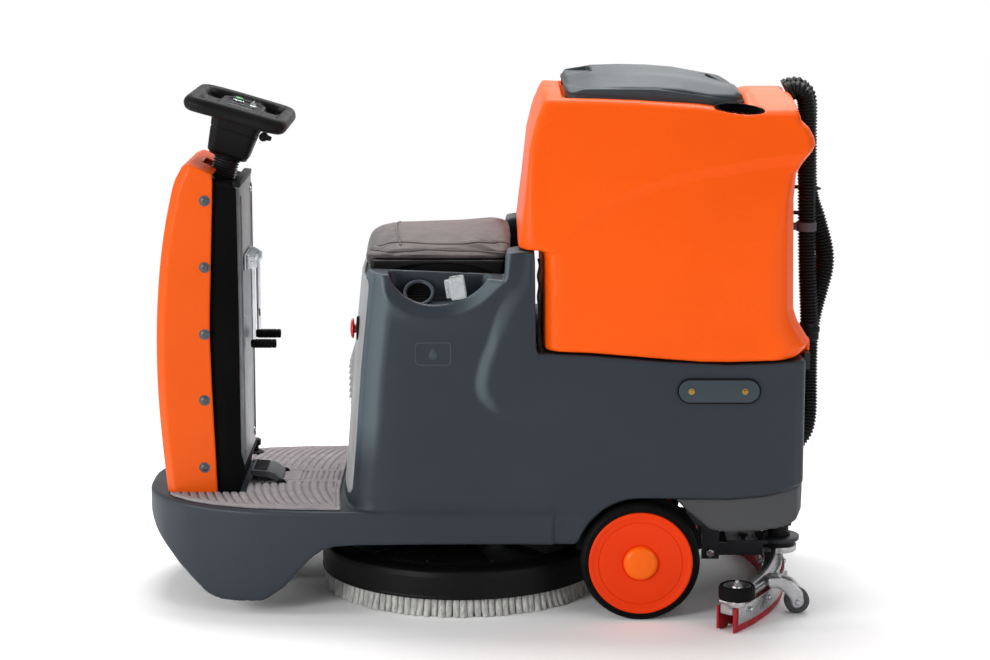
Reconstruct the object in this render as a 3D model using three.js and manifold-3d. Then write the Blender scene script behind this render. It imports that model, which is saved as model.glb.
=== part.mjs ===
// Ride-on floor scrubber, millimetres, +Z up.
// +X runs from the nose to the rear of the machine, +Y to the machine's right.
// Origin: on the floor, under the centre of the machine's bounding box.
import * as THREE from 'three';
import { mergeVertices } from 'three/addons/utils/BufferGeometryUtils.js';
import Module from 'manifold-3d';

const wasm = await Module();
wasm.setup();

// ---------------------------------------------------------------- driving dimensions
const NOSE_X = -688;             // front of the nose
const BODY_W = 289;              // half width of the main body
const SHELL = 8;                 // wall of the nose
const DECK_Z = 212;              // moulded deck under the floor mat
const ON_DECK_Z = DECK_Z + 0.3;  // underside of the pieces that stand on the deck
const MAT_Z = 217;               // top of the floor mat
const BRUSH_X = -62;             // brush centre
const BRUSH_R = 280;             // bristle radius
const WHEEL_X = 288;             // rear wheel centre
const WHEEL_R = 115;             // rear tyre radius
const WHEEL_Y0 = 243;            // inner face of a rear wheel
const WHEEL_Y1 = 301;            // outer face of a rear wheel
const DRIVE_X = -545;            // drive wheel centre and steering axis
const DRIVE_R = 95;              // drive tyre radius
const PORT_X = 583;              // squeegee suction port and swivel axis

// Axes that run along y, as [x, z].
const REAR_AXLE = [WHEEL_X, WHEEL_R];
const TANK_PIVOT = [612, 508];   // recovery tank hinge
const ARM_PIVOT = [442, 72];     // squeegee arm
const LIFT_FRAME = [140, 165];   // lower lift arm on the chassis
const LIFT_DECK = [-40, 120];    // lower lift arm on the brush deck
const LINK_RISE = 25;            // height of the upper lift link above the arm
const raised = ([x, z]) => [x, z + LINK_RISE];
const LINK_FRAME = raised(LIFT_FRAME);
const LINK_DECK = raised(LIFT_DECK);

// Vertical axes, as [x, y].
const DRIVE_AXIS = [DRIVE_X, 0];
const BRUSH_AXIS = [BRUSH_X, 0];
const PORT_AXIS = [PORT_X, 0];
const FOOT_BUTTON = [-500, 205];

const SIDES = [['left', -1], ['right', 1]];

// ---------------------------------------------------------------- materials
// [colour, roughness, metalness (0 if left out), opacity (1 if left out)]
const FINISHES = {
  bodySlate: [0x3e4852, 0.55], fittingSlate: [0x3e4852, 0.5],
  orange: [0xff641e, 0.4], hubOrange: [0xff500a, 0.3],
  black: [0x101012, 0.5], columnBlack: [0x101012, 0.45],
  wheelBlack: [0x101012, 0.55], buttonBlack: [0x101012, 0.6],
  switchBlack: [0x17181a, 0.5], deckBlack: [0x0e0e10, 0.5], brushBlack: [0x1b1c1e, 0.6],
  tyreRubber: [0x1a1a1b, 0.85], softRubber: [0x1a1a1b, 0.7],
  matGrey: [0x96928f, 0.9], panelGrey: [0x6f7174, 0.5], pedalGrey: [0x55575a, 0.7],
  skirtGrey: [0x4a4a4c, 0.6], casterGrey: [0x7e8084, 0.6], lidGrey: [0x5d656c, 0.5],
  batteryCase: [0x232528, 0.5], filterWhite: [0xdcdcdc, 0.5], bristleWhite: [0xf2f2ee, 0.8],
  seatBrown: [0x786c6c, 0.8], startGreen: [0x2c9c4a, 0.4],
  stopRed: [0xc8161c, 0.35], bladeRed: [0xd73749, 0.5],
  frameSteel: [0x202226, 0.5, 0.6], linkageSteel: [0x2a2c30, 0.5, 0.6],
  axleSteel: [0x9a9da0, 0.35, 1], hingeSteel: [0x7b7e82, 0.45, 0.8],
  armSteel: [0x17181a, 0.5, 0.4], leverChrome: [0xc8ccd0, 0.2, 1],
  bracketChrome: [0xc8ccd0, 0.25, 1], aluminium: [0xa9a8aa, 0.4, 0.9],
  driveMotor: [0x7c8084, 0.45, 0.7], gearmotor: [0x8d9093, 0.45, 0.6],
  controllerCase: [0x34373b, 0.4, 0.5], vacuumMotor: [0x3a3d41, 0.5, 0.4],
  clearBlock: [0xe6ecf0, 0.1, 0, 0.4],
};

function materialOf(finish) {
  const [color, roughness, metalness = 0, opacity = 1] = FINISHES[finish];
  const transparent = opacity < 1;
  return new THREE.MeshStandardMaterial({ color, roughness, metalness, opacity, transparent });
}

// ---------------------------------------------------------------- helpers
const add = (first, ...rest) => rest.reduce((sum, part) => sum.add(part), first);
const cut = (first, ...rest) => rest.reduce((left, part) => left.subtract(part), first);
const mirrorY = (part) => part.mirror([0, 1, 0]);
const onSide = (part, side) => (side < 0 ? mirrorY(part) : part);

// joins the parts to their mirror images in y
function bothSides(...parts) {
  const oneSide = add(...parts);
  return oneSide.add(mirrorY(oneSide));
}

function solid(geometry) {
  geometry.deleteAttribute('normal');
  geometry.deleteAttribute('uv');
  const merged = mergeVertices(geometry, 1e-3);
  return new wasm.Manifold(new wasm.Mesh({
    numProp: 3,
    vertProperties: new Float32Array(merged.attributes.position.array),
    triVerts: new Uint32Array(merged.index.array),
  }));
}

function geometryOf(part) {
  const mesh = part.getMesh();
  const geometry = new THREE.BufferGeometry();
  const positions = new Float32Array(mesh.vertProperties);
  geometry.setAttribute('position', new THREE.BufferAttribute(positions, 3));
  geometry.setIndex(new THREE.BufferAttribute(new Uint32Array(mesh.triVerts), 1));
  const flat = geometry.toNonIndexed();
  flat.computeVertexNormals();
  return flat;
}

const root = new THREE.Group();

// pose: position, and tilt about y
function place(name, finish, part, { position = [0, 0, 0], tilt = 0 } = {}) {
  const mesh = new THREE.Mesh(geometryOf(part), materialOf(finish));
  mesh.name = name;
  mesh.position.set(...position);
  mesh.rotation.y = tilt;
  root.add(mesh);
}

const shapeOf = (points) => new THREE.Shape(points.map((point) => new THREE.Vector2(...point)));
const extrude = (shape, depth) =>
  new THREE.ExtrudeGeometry(shape, { depth, bevelEnabled: false });

function extrudeZ(shape, z0, z1) {
  return solid(extrude(shape, z1 - z0).translate(0, 0, z0));
}

// polygon in XY swept from z0 to z1
const prismZ = (points, z0, z1) => extrudeZ(shapeOf(points), z0, z1);

// polygon in XZ swept from y0 to y1
function prismY(points, y0, y1) {
  return solid(extrude(shapeOf(points), y1 - y0).rotateX(Math.PI / 2).translate(0, y1, 0));
}

// polygon in YZ swept from x0 to x1
function prismX(points, x0, x1) {
  const geometry = extrude(shapeOf(points), x1 - x0);
  return solid(geometry.rotateX(Math.PI / 2).rotateZ(Math.PI / 2).translate(x0, 0, 0));
}

function box(x0, x1, y0, y1, z0, z1) {
  const geometry = new THREE.BoxGeometry(x1 - x0, y1 - y0, z1 - z0);
  return solid(geometry.translate((x0 + x1) / 2, (y0 + y1) / 2, (z0 + z1) / 2));
}

// cylinder along an axis; centre holds the other two coordinates in x, y, z order
function rod(axis, from, to, [centreA, centreB], radius, segments = 16) {
  const geometry = new THREE.CylinderGeometry(radius, radius, to - from, segments);
  const middle = (from + to) / 2;
  if (axis === 'x') geometry.rotateZ(-Math.PI / 2).translate(middle, centreA, centreB);
  else if (axis === 'y') geometry.translate(centreA, middle, centreB);
  else geometry.rotateX(Math.PI / 2).translate(centreA, centreB, middle);
  return solid(geometry);
}

// pieces centred on y = 0, reaching halfY to each side
const midBox = (x0, x1, halfY, z0, z1) => box(x0, x1, -halfY, halfY, z0, z1);
const midPrism = (points, halfY) => prismY(points, -halfY, halfY);
const midRod = (halfY, centre, radius, segments) =>
  rod('y', -halfY, halfY, centre, radius, segments);

// turned profile [[radius, height], ...], closed on itself or on the axis
function lathe(axis, profile, segments, [centreA, centreB] = [0, 0]) {
  const points = profile.map((point) => new THREE.Vector2(...point));
  const geometry = new THREE.LatheGeometry(points, segments);
  if (axis === 'y') geometry.translate(centreA, 0, centreB);
  else geometry.rotateX(Math.PI / 2).translate(centreA, centreB, 0);
  return solid(geometry);
}

// rectangle about the origin with rounded corners
function roundRect(halfA, halfB, radius, steps) {
  const insetA = halfA - radius;
  const insetB = halfB - radius;
  const corners = [[insetA, insetB], [-insetA, insetB], [-insetA, -insetB], [insetA, -insetB]];
  return corners.flatMap(([cornerA, cornerB], quarter) =>
    Array.from({ length: steps + 1 }, (_, i) => {
      const angle = THREE.MathUtils.degToRad(90 * quarter + (90 * i) / steps);
      return [cornerA + radius * Math.cos(angle), cornerB + radius * Math.sin(angle)];
    }));
}
const shift = (points, stepA, stepB) => points.map(([a, b]) => [a + stepA, b + stepB]);

// closes a half outline: [x, y] across y = 0, or [y, z] across y = 0
const mirrored = (half) => half.concat(
  half.slice().reverse().filter(([, y]) => Math.abs(y) > 1e-6).map(([x, y]) => [x, -y]));
const mirroredSection = (half) => half.concat(half.slice().reverse().map(([y, z]) => [-y, z]));

// ---------------------------------------------------------------- main body
// Plan outlines are half outlines [x, y]; side outlines are [x, z].
const nosePlan = (inset) => [
  [NOSE_X + inset, 0], [-684 + inset, 60 - inset / 3], [-668 + inset, 118 - inset / 2],
  [-641 + inset, 165 - inset / 2], [-600 + inset / 2, 207 - inset],
  [-545, 240 - inset], [-470, 268 - inset], [-380, 280 - inset],
];
const SEAT_BOX_PLAN = [[-292, 0], [-290, 120], [-280, 200], [-262, 250], [-232, 280],
  [-190, BODY_W]];
const REAR_PLAN = [[580, BODY_W], [600, 270], [607, 200], [612, 0]];
// edge over the rear wheel and along the tail, shared by both hull halves and the skirt
const REAR_SILL = [[225, 218], [265, 234], [310, 240], [459, 238], [524, 244], [568, 255],
  [620, 266]];
const LOWER_HULL_SIDE = [
  [-700, DECK_Z], [-700, 180], [-690, 166], [-668, 134], [-616, 86], [-556, 36], [-530, 28],
  [-445, 28], [-433, 38], [-400, 62], [-370, 98], [-351, 118], [-327, 136], [-302, 144],
  [-254, 147], [165, 148], [194, 194], ...REAR_SILL, [620, 290], [0, 290], [-240, DECK_Z],
];
const UPPER_HULL_SIDE = [
  [-290, 205], [200, 205], ...REAR_SILL, [606, 344], [604, 470], [600, 508], [540, 504],
  [454, 501.5], [323, 508], [192, 519], [98, 525], [90, 521], [84, 536], [83, 649], [82, 716],
  [71, 720], [47, 719], [30, 715], [26, 665], [-222, 674], [-250, 672], [-259, 588],
  [-270, 480], [-281, 330],
];
const REAR_BAY_SIDE = [[90, 203], [596, 203], [596, 495], [540, 494], [454, 492], [323, 499],
  [192, 510], [90, 515]];
const SEAT_BOX_FRONT_BAY = [[-262, 0], [-255, 150], [-242, 210], [-242, 240], [-200, 240]];

function hull() {
  const lowerPlan = mirrored([...nosePlan(0), [-280, 285], [-180, BODY_W], ...REAR_PLAN]);
  const upperPlan = mirrored([...SEAT_BOX_PLAN, ...REAR_PLAN]);
  return add(
    midPrism(LOWER_HULL_SIDE, 300).intersect(prismZ(lowerPlan, 0, 300)),
    midPrism(UPPER_HULL_SIDE, 300).intersect(prismZ(upperPlan, 200, 760)));
}

place('main_body', 'bodySlate', cut(hull(),
  // inside of the nose, underbody and seat box
  prismZ(mirrored([...nosePlan(SHELL), [-296, 277]]), -10, DECK_Z - SHELL),
  midBox(-297, 597, 279, -10, 204),
  midBox(-240, 76, 277, 203, 600),
  midBox(70, 95, 277, 200, 300),
  prismZ(mirrored(SEAT_BOX_FRONT_BAY), 203, 600),
  midBox(-232, 76, 196, 590, 760),
  midPrism(REAR_BAY_SIDE, 279),
  // recess for the seat and a pocket at each side of it
  midBox(-300, 40, 196, 651, 760),
  midBox(27, 95, 202, 651, 760),
  bothSides(box(-197, -5, 214, 282, 616, 700)),
  // wheel arches, rear notch, steering hole and axle slots
  bothSides(rod('y', 232, 320, REAR_AXLE, 125, 32)),
  midBox(590, 640, 45, 200, 335),
  rod('z', 190, 230, DRIVE_AXIS, 22, 20),
  midBox(WHEEL_X - 12, WHEEL_X + 12, 300, 95, 130)));

// ---------------------------------------------------------------- steel chassis
const RAIL_Y = [200, 230];       // inner and outer face of a side rail
const RAIL_Z = [172, 202];       // bottom and top of rails and cross members
const CROSS_HALF = 205;          // half length of a cross member
const FRONT_PLATE_PLAN = [[-620, 80], [-560, 130], [-440, 228], [-400, 228]];
const liftLug = (y0, y1, z0) => box(LIFT_FRAME[0] - 13, LIFT_FRAME[0] + 13, y0, y1, z0, 204);

function chassisFrame() {
  const frame = add(
    bothSides(box(-440, 585, ...RAIL_Y, ...RAIL_Z)),
    midBox(-215, 160, CROSS_HALF, 202, 207),
    ...[[180, 210], [425, 460], [525, 545]].map(([x0, x1]) =>
      midBox(x0, x1, CROSS_HALF, ...RAIL_Z)),
    prismZ(mirrored(FRONT_PLATE_PLAN), 198.5, 203.5),
    bothSides(
      box(WHEEL_X - 18, WHEEL_X + 18, 205, 225, 99, 175),
      box(425, 460, 53, 60, 58, 180),
      liftLug(112, 119, 152)),
    liftLug(82, 89, 176));
  return cut(frame,
    rod('z', 190, 210, DRIVE_AXIS, 18, 20),
    midRod(230, REAR_AXLE, 10.6, 20),
    midRod(70, ARM_PIVOT, 7.5),
    midRod(125, LIFT_FRAME, 7.5),
    rod('y', 80, 92, LINK_FRAME, 7.5));
}
place('chassis_frame', 'frameSteel', chassisFrame());

// ---------------------------------------------------------------- floor mat
const MAT_PLAN = [
  [-672, 0], [-669, 58], [-653, 112], [-628, 157], [-590, 196], [-540, 226], [-468, 252],
  [-380, 264], [-290, 268], [-296, 200], [-300, 120], [-302, 0],
];
const [buttonX, buttonY] = FOOT_BUTTON;
place('floor_mat', 'matGrey', cut(prismZ(mirrored(MAT_PLAN), ON_DECK_Z, MAT_Z),
  midBox(-700, -488, 139, 200, 230),
  box(buttonX - 20, buttonX + 20, buttonY - 20, buttonY + 20, 200, 230)));

// ---------------------------------------------------------------- steering column
// Side outlines are [x, z].
const COVER_SIDE = [
  [-645, ON_DECK_Z], [-661, 402], [-660, 533], [-651, 662], [-634, 780], [-620, 829],
  [-608, 854], [-584, 874], [-564, 878], [-544, 846], [-543, 833], [-550, 642], [-553, 543],
  [-550, 402], [-544, ON_DECK_Z],
];
const COVER_INSIDE = [
  [-639, 205], [-655, 402], [-654, 533], [-645, 662], [-628, 780], [-614, 829], [-602, 850],
  [-584, 866], [-566, 869], [-530, 846], [-530, 205],
];
const COVER_TOP_NOTCH = [[-572, 842], [-572, 900], [-500, 900], [-500, 842]];
const coverPlan = (inset) => mirrored([[-668 + inset, 0], [-668 + inset, 118 - inset],
  [-648 + inset / 2, 136 - inset], [-500, 136 - inset]]);
place('column_front_cover', 'orange', cut(
  midPrism(COVER_SIDE, 150).intersect(prismZ(coverPlan(0), 200, 900)),
  midPrism(COVER_INSIDE, 130).intersect(prismZ(coverPlan(6), 200, 900)),
  midPrism(COVER_TOP_NOTCH, 40)));

const CORE_SIDE = [
  [-542, ON_DECK_Z], [-548.5, 402], [-551.5, 543], [-548.5, 642], [-541.5, 832], [-500, 822],
  [-498, 601], [-498, 289], [-489, 258], [-501, 226], [-501, ON_DECK_Z],
];
place('column_core', 'columnBlack', cut(midPrism(CORE_SIDE, 126),
  midPrism([[-560, 200], [-560, 825], [-506, 815], [-506, 200]], 119),
  midPrism([[-560, 800], [-560, 850], [-508, 850], [-508, 800]], 34)));

const REAR_PANEL_SIDE = [[-497.5, 290], [-497.5, 800], [-496.5, 828], [-490.5, 828],
  [-491, 671], [-490, 477], [-490, 290]];
place('column_rear_panel', 'panelGrey', midPrism(REAR_PANEL_SIDE, 112));

// The pieces on the steering shaft are built about the wheel centre and tilted together.
const STEERING_POSE = { position: [-496, 0, 967], tilt: THREE.MathUtils.degToRad(16.5) };
const BOOT_BASE = -142;
const BOOT_PITCH = 9.6;          // height of one rib

function steeringBoot() {
  const ribs = [];
  for (let i = 0; i <= 4; i++) {
    const height = BOOT_BASE + i * BOOT_PITCH;
    ribs.push([26, height], [22.5, height + BOOT_PITCH / 2]);
  }
  const profile = [[14, BOOT_BASE], ...ribs, [22, -99], [14, -99], [14, BOOT_BASE]];
  return lathe('z', profile, 16);
}
place('steering_boot', 'softRubber', steeringBoot(), STEERING_POSE);

// rounded frame with four openings round a recessed centre
function steeringWheel() {
  const outline = shapeOf(roundRect(104, 147, 42, 4));
  for (const side of [1, -1]) {
    outline.holes.push(
      shapeOf(shift(roundRect(17, 96, 10, 2), side * 53, 0)),
      shapeOf(shift(roundRect(26, 7, 6, 2), 0, side * 104)));
  }
  return cut(extrudeZ(outline, -17, 14), midBox(-34, 34, 90, 5, 20));
}
place('steering_wheel', 'wheelBlack', steeringWheel(), STEERING_POSE);

const steeringHead = add(
  prismZ(roundRect(47, 52, 16, 3), -60, -17.5),
  prismZ(roundRect(40, 40, 20, 3), -96, -59),
  rod('z', -225, -90, [0, 0], 9),
  rod('z', -225, -218, [0, 0], 24));
place('steering_head', 'black', cut(steeringHead, midBox(44, 60, 30, -62, -30)), STEERING_POSE);
place('start_button', 'startGreen', rod('z', 8.4, 13.5, [-12, 45], 9), STEERING_POSE);
place('direction_switch', 'switchBlack',
  add(midRod(9, [58, -44], 9), midBox(58, 74, 4, -50, -38)), STEERING_POSE);

// ---------------------------------------------------------------- drive wheel and fork
place('steer_fork', 'linkageSteel', add(
  midBox(-34, 34, 43, 192.5, 197.5),
  bothSides(box(-22, 22, 37, 43, 80, 195)),
  rod('z', 195, 236, [0, 0], 15, 20),
  rod('z', 229, 236, [0, 0], 34, 24)), { position: [DRIVE_X, 0, 0] });

const DRIVE_POSE = { position: [DRIVE_X, 0, DRIVE_R] };
const DRIVE_TYRE = [[70.4, -28], [88, -28], [DRIVE_R, -20], [DRIVE_R, 20], [88, 28],
  [70.4, 28], [70.4, -28]];
const DRIVE_MOTOR = [[0, -34], [46, -34], [46, -26], [70, -26], [70, 26], [46, 26], [46, 34],
  [0, 34]];
place('drive_wheel_tyre', 'tyreRubber', lathe('y', DRIVE_TYRE, 32), DRIVE_POSE);
place('drive_wheel_motor', 'driveMotor', lathe('y', DRIVE_MOTOR, 32), DRIVE_POSE);

// ---------------------------------------------------------------- pedal and foot button
const PEDAL_SIDE = [[-425, 219], [-420, 223], [-445, 239], [-484, 243], [-484, 237], [-447, 233]];
place('drive_pedal', 'pedalGrey',
  cut(prismY(PEDAL_SIDE, -60, 30), rod('y', -70, 40, [-424.5, 221], 0.9, 8)));
const FOOT_BUTTON_PROFILE = [[0, 224], [7, 224], [7, 236], [13, 238], [13, 244], [10, 248],
  [0, 248]];
place('foot_button', 'buttonBlack', lathe('z', FOOT_BUTTON_PROFILE, 20, FOOT_BUTTON));

// ---------------------------------------------------------------- hand levers
const LEVER_PIVOT = [-474, 664]; // x, z
const [leverX, leverZ] = LEVER_PIVOT;
const SQUEEGEE_LEVER_Y = -50;
const BRUSH_LEVER_Y = 60;

function handLever(y) {
  const bar = box(leverX - 4, leverX + 4, y - 2.5, y + 2.5, 494, leverZ);
  return cut(add(rod('y', y - 2.5, y + 2.5, LEVER_PIVOT, 9), bar),
    rod('y', y - 10, y + 10, LEVER_PIVOT, 4.3, 12));
}
function leverGrip(y) {
  return cut(rod('x', -480, -429, [y, 500], 9), box(-481, -469.6, y - 3, y + 3, 480, 520));
}
for (const [name, y] of [['squeegee', SQUEEGEE_LEVER_Y], ['brush', BRUSH_LEVER_Y]]) {
  place(`${name}_lever`, 'leverChrome', handLever(y));
  place(`${name}_lever_grip`, 'black', leverGrip(y));
}

const CLEVIS_SIDE = [[-488.5, 648], [-488.5, 680], [leverX, 674], [-466, 669], [-466, 659],
  [leverX, 654]];
const clevisEar = (y) => prismY(CLEVIS_SIDE, y - 1.5, y + 1.5);
place('lever_bracket', 'bracketChrome', add(
  box(-489.6, -487.4, SQUEEGEE_LEVER_Y - 16, BRUSH_LEVER_Y + 16, 648, 680),
  ...[SQUEEGEE_LEVER_Y, BRUSH_LEVER_Y].flatMap((y) => [clevisEar(y - 5), clevisEar(y + 5)]),
  rod('y', SQUEEGEE_LEVER_Y - 8, BRUSH_LEVER_Y + 8, LEVER_PIVOT, 3.6, 12)));

// ---------------------------------------------------------------- seat box details
const BOX_PANEL_SIDE = [[-284, 384], [-292, 396], [-292, 470], [-284, 492], [-273.2, 492],
  [-282, 384]];
place('seat_box_panel', 'bodySlate', midPrism(BOX_PANEL_SIDE, 110));

const STOP_CENTRE = [-150, 549]; // y, z
place('emergency_stop', 'stopRed', add(
  rod('x', -286, -276.5, STOP_CENTRE, 20, 20), rod('x', -277.5, -268.4, STOP_CENTRE, 9, 12)));

const STRAINER_PROFILE = [[26, 616.5], [30, 616.5], [30, 640], [33, 640], [33, 643], [27, 643],
  [27, 620], [26, 620], [26, 616.5]];
place('fill_port_strainer', 'fittingSlate', lathe('z', STRAINER_PROFILE, 24, [-139, -247]));
place('tray_clip_block', 'clearBlock', box(-86, -42, -268, -232, 622, 672));

const PLATE_INNER = BODY_W + 0.4; // distance of the plate's inner face from y = 0
place('cover_plate_left', 'fittingSlate',
  prismY(shift(roundRect(77, 22, 21.5, 4), 435, 452), -(PLATE_INNER + 4), -PLATE_INNER));

// ---------------------------------------------------------------- inside the body
const battery = add(
  box(-214, 66, 10, 183, 207.5, 418),
  box(-190, -170, 140, 160, 417, 428),
  box(20, 40, 140, 160, 417, 428));
for (const [name, side] of SIDES) {
  place(`battery_${name}`, 'batteryCase', onSide(battery, side));
}
place('motor_controller', 'controllerCase', midBox(110, 250, 150, 230, 290));

const VACUUM_AXIS = [420, 120];  // x, y
place('vacuum_motor', 'vacuumMotor', add(
  rod('z', 225, 330, VACUUM_AXIS, 72, 24),
  rod('z', 329, 400, VACUUM_AXIS, 52, 24),
  box(410, 430, 60, 120, 240, 270)));
place('rear_axle', 'axleSteel', midRod(296, REAR_AXLE, 10, 20));

// ---------------------------------------------------------------- rear skirt
const skirtPlan = (inset) => [
  [352, 272 - inset], [560, 272 - inset], [590 - inset / 2, 262 - inset],
  [604 - inset, 225 - inset], [606 - inset, 60], [606 - inset, 46],
];
const SKIRT_SIDE = [
  [356, 300], [356, 234], [378, 210], [405, 189], [420, 173], [454, 169], [520, 171],
  [564, 178], [598, 192], [612, 205], [612, 300],
];
// space above the skirt, 1.5 below the body's rear sill
const SKIRT_TOP_CUT = [[300, 238.5], ...shift(REAR_SILL.slice(3), 0, -1.5), [620, 310],
  [300, 310]];

function rearSkirt() {
  const band = prismZ([...skirtPlan(0), ...skirtPlan(6).reverse()], 165, 300);
  return cut(
    add(bothSides(band.intersect(midPrism(SKIRT_SIDE, 300))), midBox(599.5, 606, 50, 192, 206)),
    bothSides(prismY(SKIRT_TOP_CUT, 270.9, 300)),
    midBox(595, 620, 280, 259.5, 310),
    midBox(560, 600, 232, 172, 203));
}
place('rear_skirt', 'skirtGrey', rearSkirt());

// ---------------------------------------------------------------- rear wheels
// profiles of the right wheel, [radius, y]
const WHEEL_TYRE = [
  [100.6, WHEEL_Y0], [106, WHEEL_Y0], [WHEEL_R, WHEEL_Y0 + 10], [WHEEL_R, WHEEL_Y1 - 15],
  [108, WHEEL_Y1 - 5], [100.6, WHEEL_Y1 - 5], [100.6, WHEEL_Y0],
];
const WHEEL_HUB = [
  [10.5, WHEEL_Y0], [60, WHEEL_Y0], [60, WHEEL_Y0 + 18], [100, WHEEL_Y0 + 18],
  [100, WHEEL_Y1], [33, WHEEL_Y1], [26, 307], [0, 308], [0, 297], [10.5, 297],
  [10.5, WHEEL_Y0],
];
const WHEEL_POSE = { position: [WHEEL_X, 0, WHEEL_R] };
for (const [name, side] of SIDES) {
  const turned = (profile) => onSide(lathe('y', profile, 28), side);
  place(`wheel_${name}_tyre`, 'tyreRubber', turned(WHEEL_TYRE), WHEEL_POSE);
  place(`wheel_${name}_hub`, 'hubOrange', turned(WHEEL_HUB), WHEEL_POSE);
}

// ---------------------------------------------------------------- brush head
// flat bar between two [x, z] pivots, reaching halfWidth past each of them
function liftBar([fromX, fromZ], [toX, toZ], y0, y1, halfWidth) {
  const angle = Math.atan2(toZ - fromZ, toX - fromX);
  const alongX = Math.cos(angle) * halfWidth;
  const alongZ = Math.sin(angle) * halfWidth;
  return prismY([
    [fromX - alongX - alongZ, fromZ - alongZ + alongX],
    [toX + alongX - alongZ, toZ + alongZ + alongX],
    [toX + alongX + alongZ, toZ + alongZ - alongX],
    [fromX - alongX + alongZ, fromZ - alongZ - alongX],
  ], y0, y1);
}
place('brush_lift_arm', 'linkageSteel', add(
  bothSides(liftBar(LIFT_FRAME, LIFT_DECK, 101, 109, 9)),
  midRod(123, LIFT_FRAME, 7),
  bothSides(rod('y', 91, 103, LIFT_DECK, 7))));
place('brush_lift_link', 'linkageSteel', add(
  liftBar(LINK_FRAME, LINK_DECK, 72, 79, 8),
  rod('y', 78, 93, LINK_FRAME, 7),
  rod('y', 58, 74, LINK_DECK, 7)));

function deckLug(y0, y1, pivot, holeRadius) {
  const [x, z] = pivot;
  return cut(box(x - 14, x + 14, y0, y1, 90, z + 11),
    rod('y', y0 - 1, y1 + 1, pivot, holeRadius));
}
const DECK_PROFILE = [[14, 88], [276, 88], [277, 36], [283, 36], [283, 86], [276, 95],
  [14, 95], [14, 88]];
place('brush_deck', 'deckBlack', add(
  lathe('z', DECK_PROFILE, 40, BRUSH_AXIS),
  bothSides(deckLug(92, 99, LIFT_DECK, 7.5)),
  deckLug(60, 66, LINK_DECK, 8.5)));
place('brush_gearmotor', 'gearmotor', add(
  rod('z', 95.4, 126, BRUSH_AXIS, 54, 24),
  rod('x', BRUSH_X - 190, BRUSH_X, [0, 124], 27, 20),
  rod('z', 66, 100, BRUSH_AXIS, 11)));

const BLOCK_PROFILE = [[12, 44], [266, 44], [266, 60], [60, 64], [44, 84], [12, 84], [12, 44]];
const BRISTLE_PROFILE = [[170, 0], [BRUSH_R, 0], [272, 43.6], [176, 43.6], [170, 0]];
place('brush_block', 'brushBlack', lathe('z', BLOCK_PROFILE, 28, BRUSH_AXIS));
place('brush_bristles', 'bristleWhite', lathe('z', BRISTLE_PROFILE, 40, BRUSH_AXIS));

// ---------------------------------------------------------------- squeegee
const ARC_X = -30;               // centre of the squeegee arcs
const SQUEEGEE_R = 625;          // rear face of the rear blade
const ARC_HALF = Math.asin(384 / SQUEEGEE_R); // half angle of the arcs
const BLADE_Z = [0.8, 50];
const CASTER_AXLE = [597, 25.5]; // x, z
const CASTER_Y = 240;
const ROLLER_X = 467;
const ROLLER_Y = 371;

// curved band between two radii, reaching halfAngle to each side
function arcBand(innerRadius, outerRadius, halfAngle, z0, z1, steps) {
  const arc = (radius) => Array.from({ length: steps + 1 }, (_, i) => {
    const angle = halfAngle * (-1 + (2 * i) / steps);
    return [ARC_X + radius * Math.cos(angle), radius * Math.sin(angle)];
  });
  return prismZ([...arc(outerRadius), ...arc(innerRadius).reverse()], z0, z1);
}

const FORK_SIDE = [[538, 53], [538, 74], [575, 68], [606, 44], [608, 16], [588, 14], [572, 40],
  [562, 53]];
const casterFork = add(
  prismY(FORK_SIDE, CASTER_Y - 19, CASTER_Y - 14.6),
  prismY(FORK_SIDE, CASTER_Y + 14.6, CASTER_Y + 19),
  box(536, 566, CASTER_Y - 19, CASTER_Y + 19, 52, 72),
  rod('y', CASTER_Y - 17, CASTER_Y + 17, CASTER_AXLE, 4, 12));
const ROLLER_PLATE_PLAN = [[445, 352], [480, 340], [492, 362], [470, 385], [450, 380]];
const rollerPost = add(
  rod('z', 60, 98, [ROLLER_X, ROLLER_Y], 6), prismZ(ROLLER_PLATE_PLAN, 50.6, 64));

place('squeegee_body', 'aluminium', cut(
  add(arcBand(588, 620, ARC_HALF, 34, 62, 20),
    arcBand(600, 608, ARC_HALF * 0.75, 60, 74, 16),
    bothSides(casterFork),
    bothSides(rollerPost),
    rod('z', 58, 76, PORT_AXIS, 40, 28)),
  rod('z', 30, 80, PORT_AXIS, 19, 20)));
place('squeegee_blade_rear', 'bladeRed', arcBand(620.5, SQUEEGEE_R, ARC_HALF, ...BLADE_Z, 20));
place('squeegee_blade_front', 'bladeRed', arcBand(583, 587.5, ARC_HALF, ...BLADE_Z, 20));
place('squeegee_port', 'black', cut(
  add(rod('z', 76.5, 84, PORT_AXIS, 38, 28), rod('z', 83, 134, PORT_AXIS, 23, 24)),
  rod('z', 70, 140, PORT_AXIS, 18, 20)));
place('squeegee_arm', 'armSteel', cut(
  add(bothSides(box(430, 550, 41, 47, 62, 88)),
    rod('z', 85, 93, PORT_AXIS, 46, 28),
    midBox(480, 560, 47, 85, 93),
    midBox(478, 500, 47, 80, 93),
    midRod(63, ARM_PIVOT, 7)),
  rod('z', 80, 100, PORT_AXIS, 24, 24)));

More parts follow.
